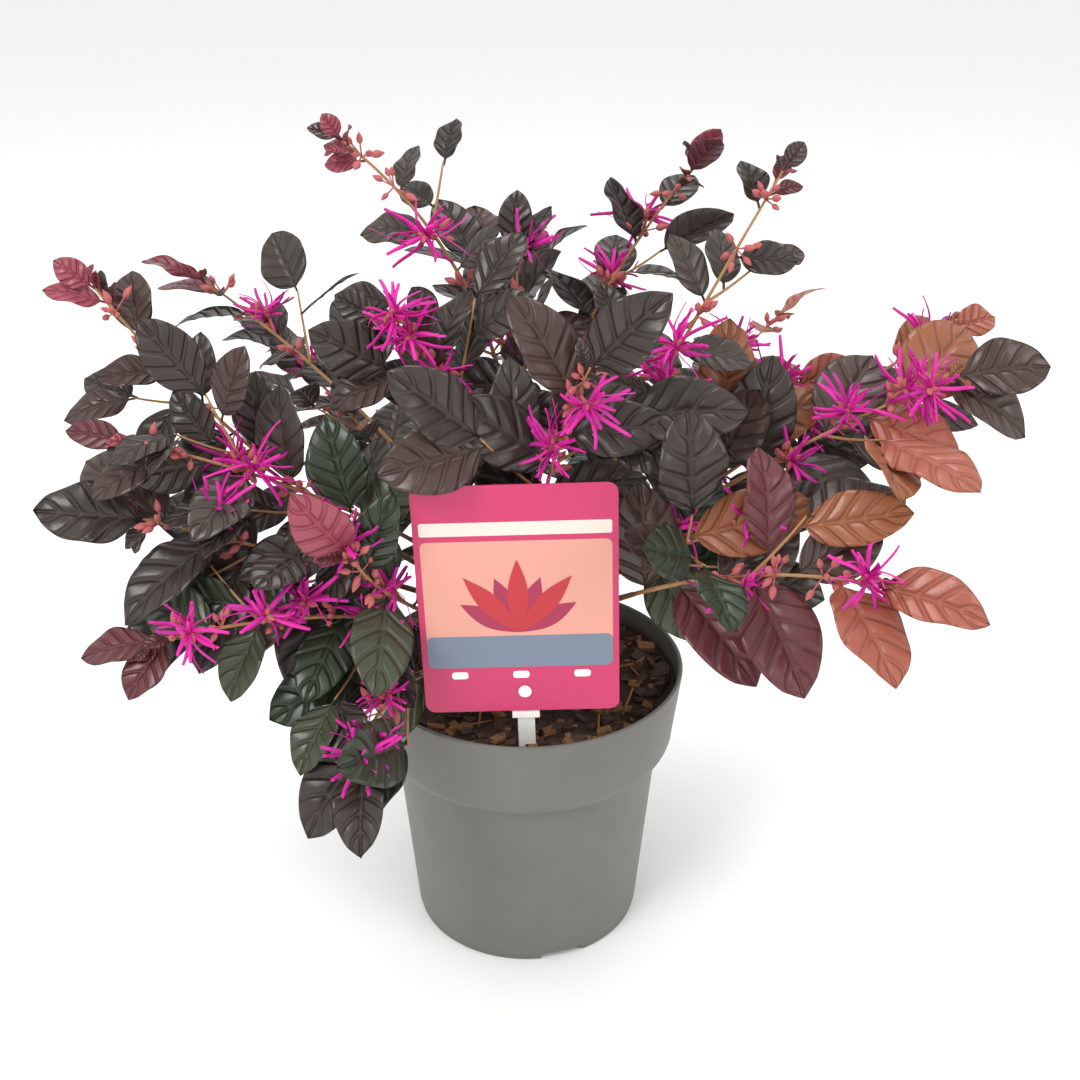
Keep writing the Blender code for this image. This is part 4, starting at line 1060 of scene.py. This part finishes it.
def tone_of(shoot, age, draw):
    """The place of a leaf's colour in the list: fresh tones near the tip, old ones below."""
    if age > shoot.turns + draw.uniform(*TURN_SPREAD):
        return leaf_place[draw.choice(FRESH_TONES[shoot.fresh])]
    return leaf_place[draw.choice(OLD_TONES[shoot.old])]


leaf_skins = {name: Skin() for name in ("left", "right", "front", "back")}
twigs = Skin()
stem_lines = {}
trees = {}
SIDE_REACH = 0.10
TWIG_SPACING = 0.9
TWIG_STAGGER = 0.6
# Ages run from 0, old and full grown, to 1, the youngest.
AGE_POWER = 1.6
TWIG_FOOT_AGE = 0.25
TWIG_AGEING = 0.5
TWIG_TIP_AGE = 0.6
YOUNG_CURL = 0.5
TIP_LEAVES = 4
TIP_LEAF_STRETCH = 0.5
TIP_LEAF_SIZES = (0.010, 0.019)
TIP_LEAF_ASPECT = 0.5
TIP_LEAF_SPREAD = 0.9
TIP_LEAF_CURL = 0.8


def side_of(shoot):
    """The side of the shrub whose leaves are joined with this shoot's."""
    if shoot.tip[1] > SIDE_REACH:
        return "back"
    if abs(shoot.tip[0]) < SIDE_REACH:
        return "front"
    return "left" if shoot.tip[0] < 0 else "right"


def add_leaf(shoot, key, base, ahead, side, age, tree):
    """The leaf that the mass holds at this node, dressed, where it holds one."""
    for attempt in range(TRIES):
        leaf = place_leaf(shoot, key, base, ahead, side, age, attempt)
        if holds(tree, leaf_corners(leaf), LEAF_PROOF):
            draw = random.Random("%s blade %s" % (shoot.name, key))
            add_blade(leaf_skins[side_of(shoot)], leaf, tone_of(shoot, age, draw), draw,
                      age * YOUNG_CURL, LEAF_GRID)
            return


for shoot in SHOOTS:
    tree = corner_tree(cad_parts["mass_" + shoot.name])
    trees[shoot.name] = tree
    stem_draw = random.Random("stem " + shoot.name)
    root = roots[shoot.name]
    line = path(shoot, root, SPLIT, 1.0, STEM_POINTS)
    line[0] += (line[1] - line[0]).normalized() * GAP
    stem_lines[shoot.name] = line
    fine = path(shoot, root, SPLIT, 1.0, STEM_RINGS)
    radii = tapered(STEM_RADIUS, STEM_TIP_RADIUS, STEM_RINGS)
    for i in range(NODE_RINGS // 2, STEM_RINGS, NODE_RINGS):
        radii[i] *= NODE_SWELLING
    limb(twigs, fine, radii, STEM_SIDES, stem_draw)
    nodes = stem_nodes(line, shoot.spacing, FIRST_LEAF)
    twig_nodes = [int((i + TWIG_STAGGER) * len(nodes) * TWIG_REACH / shoot.twigs)
                  for i in range(shoot.twigs)]
    for i, (base, ahead, share) in enumerate(nodes):
        side = 1 if i % 2 else -1
        if i in twig_nodes:
            twig = find_twig(shoot, i, base, ahead, side, share, tree)
            if twig:
                limb(twigs, smooth_line(twig, TWIG_RINGS),
                     tapered(TWIG_RADIUS, TWIG_TIP_RADIUS, TWIG_RINGS), TWIG_SIDES, stem_draw)
                places = stem_nodes(twig, shoot.spacing * TWIG_SPACING, FIRST_TWIG_LEAF)
                for j, (place, along, at) in enumerate(places):
                    add_leaf(shoot, "twig %d leaf %d" % (i, j), place, along, 1 if j % 2 else -1,
                             TWIG_FOOT_AGE + TWIG_AGEING * at, tree)
                end = (twig[-1] - twig[-2]).normalized()
                add_leaf(shoot, "twig %d tip" % i, twig[-1] - end * TIP_SINK, end, 0, TWIG_TIP_AGE, tree)
        add_leaf(shoot, "leaf %d" % i, base, ahead, side, share ** AGE_POWER, tree)
    end = (line[-1] - line[-2]).normalized()
    add_leaf(shoot, "tip", line[-1] - end * TIP_SINK, end, 0, 1.0, tree)
    for i in range(TIP_LEAVES):
        place = line[-1].lerp(line[-2], TIP_LEAF_STRETCH * i / TIP_LEAVES)
        axis = (end + shake(stem_draw, TIP_LEAF_SPREAD)).normalized()
        across = axis.cross(facing(shoot)).normalized()
        length = stem_draw.uniform(*TIP_LEAF_SIZES)
        young_leaf = Leaf(place, axis, across, across.cross(axis).normalized(), length,
                          length * TIP_LEAF_ASPECT)
        tone = leaf_place[stem_draw.choice(FRESH_TONES[shoot.fresh])]
        add_blade(leaf_skins[side_of(shoot)], young_leaf, tone, stem_draw, TIP_LEAF_CURL, SMALL_LEAF_GRID)

add_piece("young_stems", twigs.mesh("young_stems"), "bark", young_bark)
for side_name, skin in leaf_skins.items():
    leaves = add_piece("leaves_" + side_name, skin.mesh("leaves_" + side_name), "foliage", *leaf_materials)
    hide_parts(*["mass_" + shoot.name for shoot in SHOOTS if side_of(shoot) == side_name])

# Blossom
# Tufts of strap petals, four to a flower and several flowers to a tuft, out of small felted salmon
# cups. The petals are soft, matt magenta ribbons, each curled in its own way.
PETAL_LENGTH = 0.019
PETAL_LENGTHS = (0.75, 1.1)
PETAL_COUNT = 5
PETAL_UNREST = 0.25
PETAL_LIFT = (-0.1, 0.7)
TUFT_SPREAD = 0.5
TUFT_LEVELLING = 0.6
SPUR_LENGTH = 0.012
SPUR_RADIUS = 0.0009
SPUR_SIDES = 6
STRAPS = 19
STRAP_ROWS = 8
STRAP_COLUMNS = 2
STRAP_WIDTH = 0.0018
STRAP_THICKNESS = 0.0003
# A strap's breadth as a share of its width, and how much of a half wave its edge follows
STRAP_BREADTHS = (0.55, 0.6)
STRAP_ARC = (0.15, 0.7)
STRAP_LENGTHS = (0.60, 1.08)
STRAP_BEND = 0.95
STRAP_RIPPLE = (0.03, 0.09)
STRAP_DRIFT = 0.2
STRAP_PULL = 0.55
DEEP_SHARE = 0.35
BUDS = 6
BUD_ROWS = 6
BUD_SIDES = 7
BUD_GIRTH = 0.24
BUD_SKEW = 0.8
CUP_SIZES = (0.0050, 0.0075)
CUP_PULL = 0.4
PETAL_SLOT, DEEP_PETAL_SLOT, FELT_SLOT = range(3)

STRAP_ROW, STRAP_COLUMN, STRAP_FACES, STRAP_STEP = sheet_grid(STRAP_ROWS, STRAP_COLUMNS, STRAP_COLUMNS)


def add_strap(skin, foot, axis, length, draw, slot):
    """One strap petal: a ribbon that bends and ripples, and narrows to a blunt end."""
    side = axis.cross(shake(draw, 1.0)).normalized()
    normal = np.array(side.cross(axis).normalized())
    side, axis = np.array(side), np.array(axis)
    arc = np.sin(np.pi * (STRAP_ARC[0] + STRAP_ARC[1] * STRAP_ROW))
    width = STRAP_WIDTH / 2 * (STRAP_BREADTHS[0] + STRAP_BREADTHS[1] * arc)
    bend = draw.uniform(-STRAP_BEND, STRAP_BEND) * length * STRAP_ROW ** 2
    ripple = draw.uniform(*STRAP_RIPPLE) * length * np.sin(math.tau * (STRAP_ROW + draw.random()))
    drift = draw.uniform(-STRAP_DRIFT, STRAP_DRIFT) * length * STRAP_ROW ** 2
    points = (np.array(foot) + axis * (length * STRAP_ROW)[..., None]
              + normal * (bend + ripple * STRAP_ROW)[..., None]
              + side * (STRAP_COLUMN * width + drift)[..., None])
    skin.add(both_sides(points, normal, STRAP_THICKNESS, STRAP_STEP), STRAP_FACES, slot)


def add_bud(skin, foot, axis, length):
    """A closed bud or cup: a small pointed egg."""
    side = axis.orthogonal().normalized()
    other = axis.cross(side)
    points = [tuple(foot)]
    for i in range(1, BUD_ROWS):
        share = i / BUD_ROWS
        radius = length * BUD_GIRTH * math.sin(math.pi * share ** BUD_SKEW)
        for j in range(BUD_SIDES):
            out = spoke(side, other, math.tau * j / BUD_SIDES) * radius
            points.append(tuple(foot + axis * (length * share) + out))
    points.append(tuple(foot + axis * length))
    faces = [(0, 1 + (j + 1) % BUD_SIDES, 1 + j) for j in range(BUD_SIDES)]
    faces += tube_faces(1, BUD_ROWS - 1, BUD_SIDES)
    last = 1 + (BUD_ROWS - 2) * BUD_SIDES
    faces += [(last + j, last + (j + 1) % BUD_SIDES, len(points) - 1) for j in range(BUD_SIDES)]
    skin.add(points, faces, FELT_SLOT)


# Petals are matt and thin, so they look evenly bright. Cups and buds are felted and salmon-red.
blossom_materials = [start_material(*finish) for finish in (
    ("thin_magenta_petal", "#d31a98", 0.60), ("thin_deep_magenta_petal", "#bb0f8c", 0.60),
    ("felted_salmon_bud", "#b5605f", 0.85),
)]

# More tufts open on the front shoots than the solids carry, at these shares along their stems.
MORE_TUFTS = {
    "left_low": (0.80,), "left_middle": (0.55,), "lower_left": (0.74, 0.90), "over_rim": (0.66, 0.82, 0.99),
    "front_left": (0.88, 0.55), "centre_left": (0.64,), "top_centre": (0.75,), "front_right": (0.60, 0.85),
    "right_middle": (0.72, 0.92), "right_high": (0.60,), "right": (0.58, 0.84), "low_right": (0.60,),
}
EXTRA_SPREAD = 0.6
# Closed buds hang in clusters at these shares along each stem.
BUD_SPOTS = (0.60, 0.73, 0.86, 0.95)
BUD_SIZES = (0.0055, 0.0085)
BUD_FACING = 0.5
BUD_SPREAD = 0.9
BUD_STALK = 0.004
BUD_STALK_LENGTHS = (0.6, 2.0)
BUD_STALK_RADIUS = 0.0004
BUD_STALK_SIDES = 5
BUD_SINK = 0.0005


def any_way(draw, axis, pull):
    """A way out from the heart of a tuft, drawn towards its axis."""
    return (Vector([draw.gauss(0.0, 1.0) for _ in range(3)]).normalized() + axis * pull).normalized()


def dress_tuft(skin, base, heart, axis, draw):
    """A spur with a tuft of straps on it, and felted cups at its heart."""
    limb(skin, [base, base.lerp(heart, 0.5), heart], [SPUR_RADIUS] * 3, SPUR_SIDES, draw, FELT_SLOT)
    for j in range(STRAPS):
        away = any_way(draw, axis, STRAP_PULL)
        length = PETAL_LENGTH * draw.uniform(*STRAP_LENGTHS)
        slot = DEEP_PETAL_SLOT if draw.random() < DEEP_SHARE else PETAL_SLOT
        add_strap(skin, heart, away, length, draw, slot)
    for j in range(BUDS):
        away = any_way(draw, axis, CUP_PULL)
        add_bud(skin, heart, away, draw.uniform(*CUP_SIZES))


def on_stem(shoot, share):
    """A place on a shoot's arch, at a share of its length."""
    return parabola(roots[shoot.name], Vector(shoot.middle), Vector(shoot.tip), share)


blossom = Skin()
for shoot in SHOOTS:
    line = stem_lines[shoot.name]
    for index, share in enumerate(shoot.blossom):
        position = (share - SPLIT) / (1.0 - SPLIT) * (len(line) - 1)
        i = min(int(position), len(line) - 2)
        base = line[i].lerp(line[i + 1], position - i)
        ahead = (line[i + 1] - line[i]).normalized()
        draw = random.Random("%s %d blossom %d" % (shoot.name, shoot.seed, index))
        face = facing(shoot) + shake(draw, TUFT_SPREAD)
        axis = (face - ahead * face.dot(ahead) * TUFT_LEVELLING).normalized()
        heart = base + axis * SPUR_LENGTH
        side = axis.orthogonal().normalized()
        other = axis.cross(side)
        tips = []
        for j in range(PETAL_COUNT * 2):
            turn = math.tau * (j + draw.uniform(-PETAL_UNREST, PETAL_UNREST)) / (PETAL_COUNT * 2)
            if j % 2 == 0:
                reach = PETAL_LENGTH * draw.uniform(*PETAL_LENGTHS)
                lift = draw.uniform(*PETAL_LIFT)
                tips.append(heart + (spoke(side, other, turn) * reach + axis * (lift * reach)))
        if not holds(trees[shoot.name], tips, TUFT_PROOF):
            continue
        tuft_draw = random.Random("tuft %s %d" % (shoot.name, index))
        for tip in tips:
            out = tip - heart
            add_strap(blossom, heart, out.normalized(), out.length, tuft_draw, PETAL_SLOT)
        dress_tuft(blossom, base, heart, axis, tuft_draw)
    for share in MORE_TUFTS.get(shoot.name, ()):
        draw = random.Random("more %s %.2f" % (shoot.name, share))
        base = on_stem(shoot, share)
        axis = (facing(shoot) + shake(draw, EXTRA_SPREAD)).normalized()
        dress_tuft(blossom, base, base + axis * SPUR_LENGTH, axis, draw)
    for share in BUD_SPOTS:
        draw = random.Random("buds %s %.2f" % (shoot.name, share))
        base = on_stem(shoot, share)
        for j in range(BUDS):
            away = (facing(shoot) * BUD_FACING + shake(draw, BUD_SPREAD)).normalized()
            foot = base + away * BUD_STALK * draw.uniform(*BUD_STALK_LENGTHS)
            limb(blossom, [base, foot.lerp(base, 0.5), foot], [BUD_STALK_RADIUS] * 3, BUD_STALK_SIDES,
                 draw, FELT_SLOT)
            add_bud(blossom, foot - away * BUD_SINK, away, draw.uniform(*BUD_SIZES))
add_piece("fringe_blossom", blossom.mesh("fringe_blossom"), "foliage", *blossom_materials)
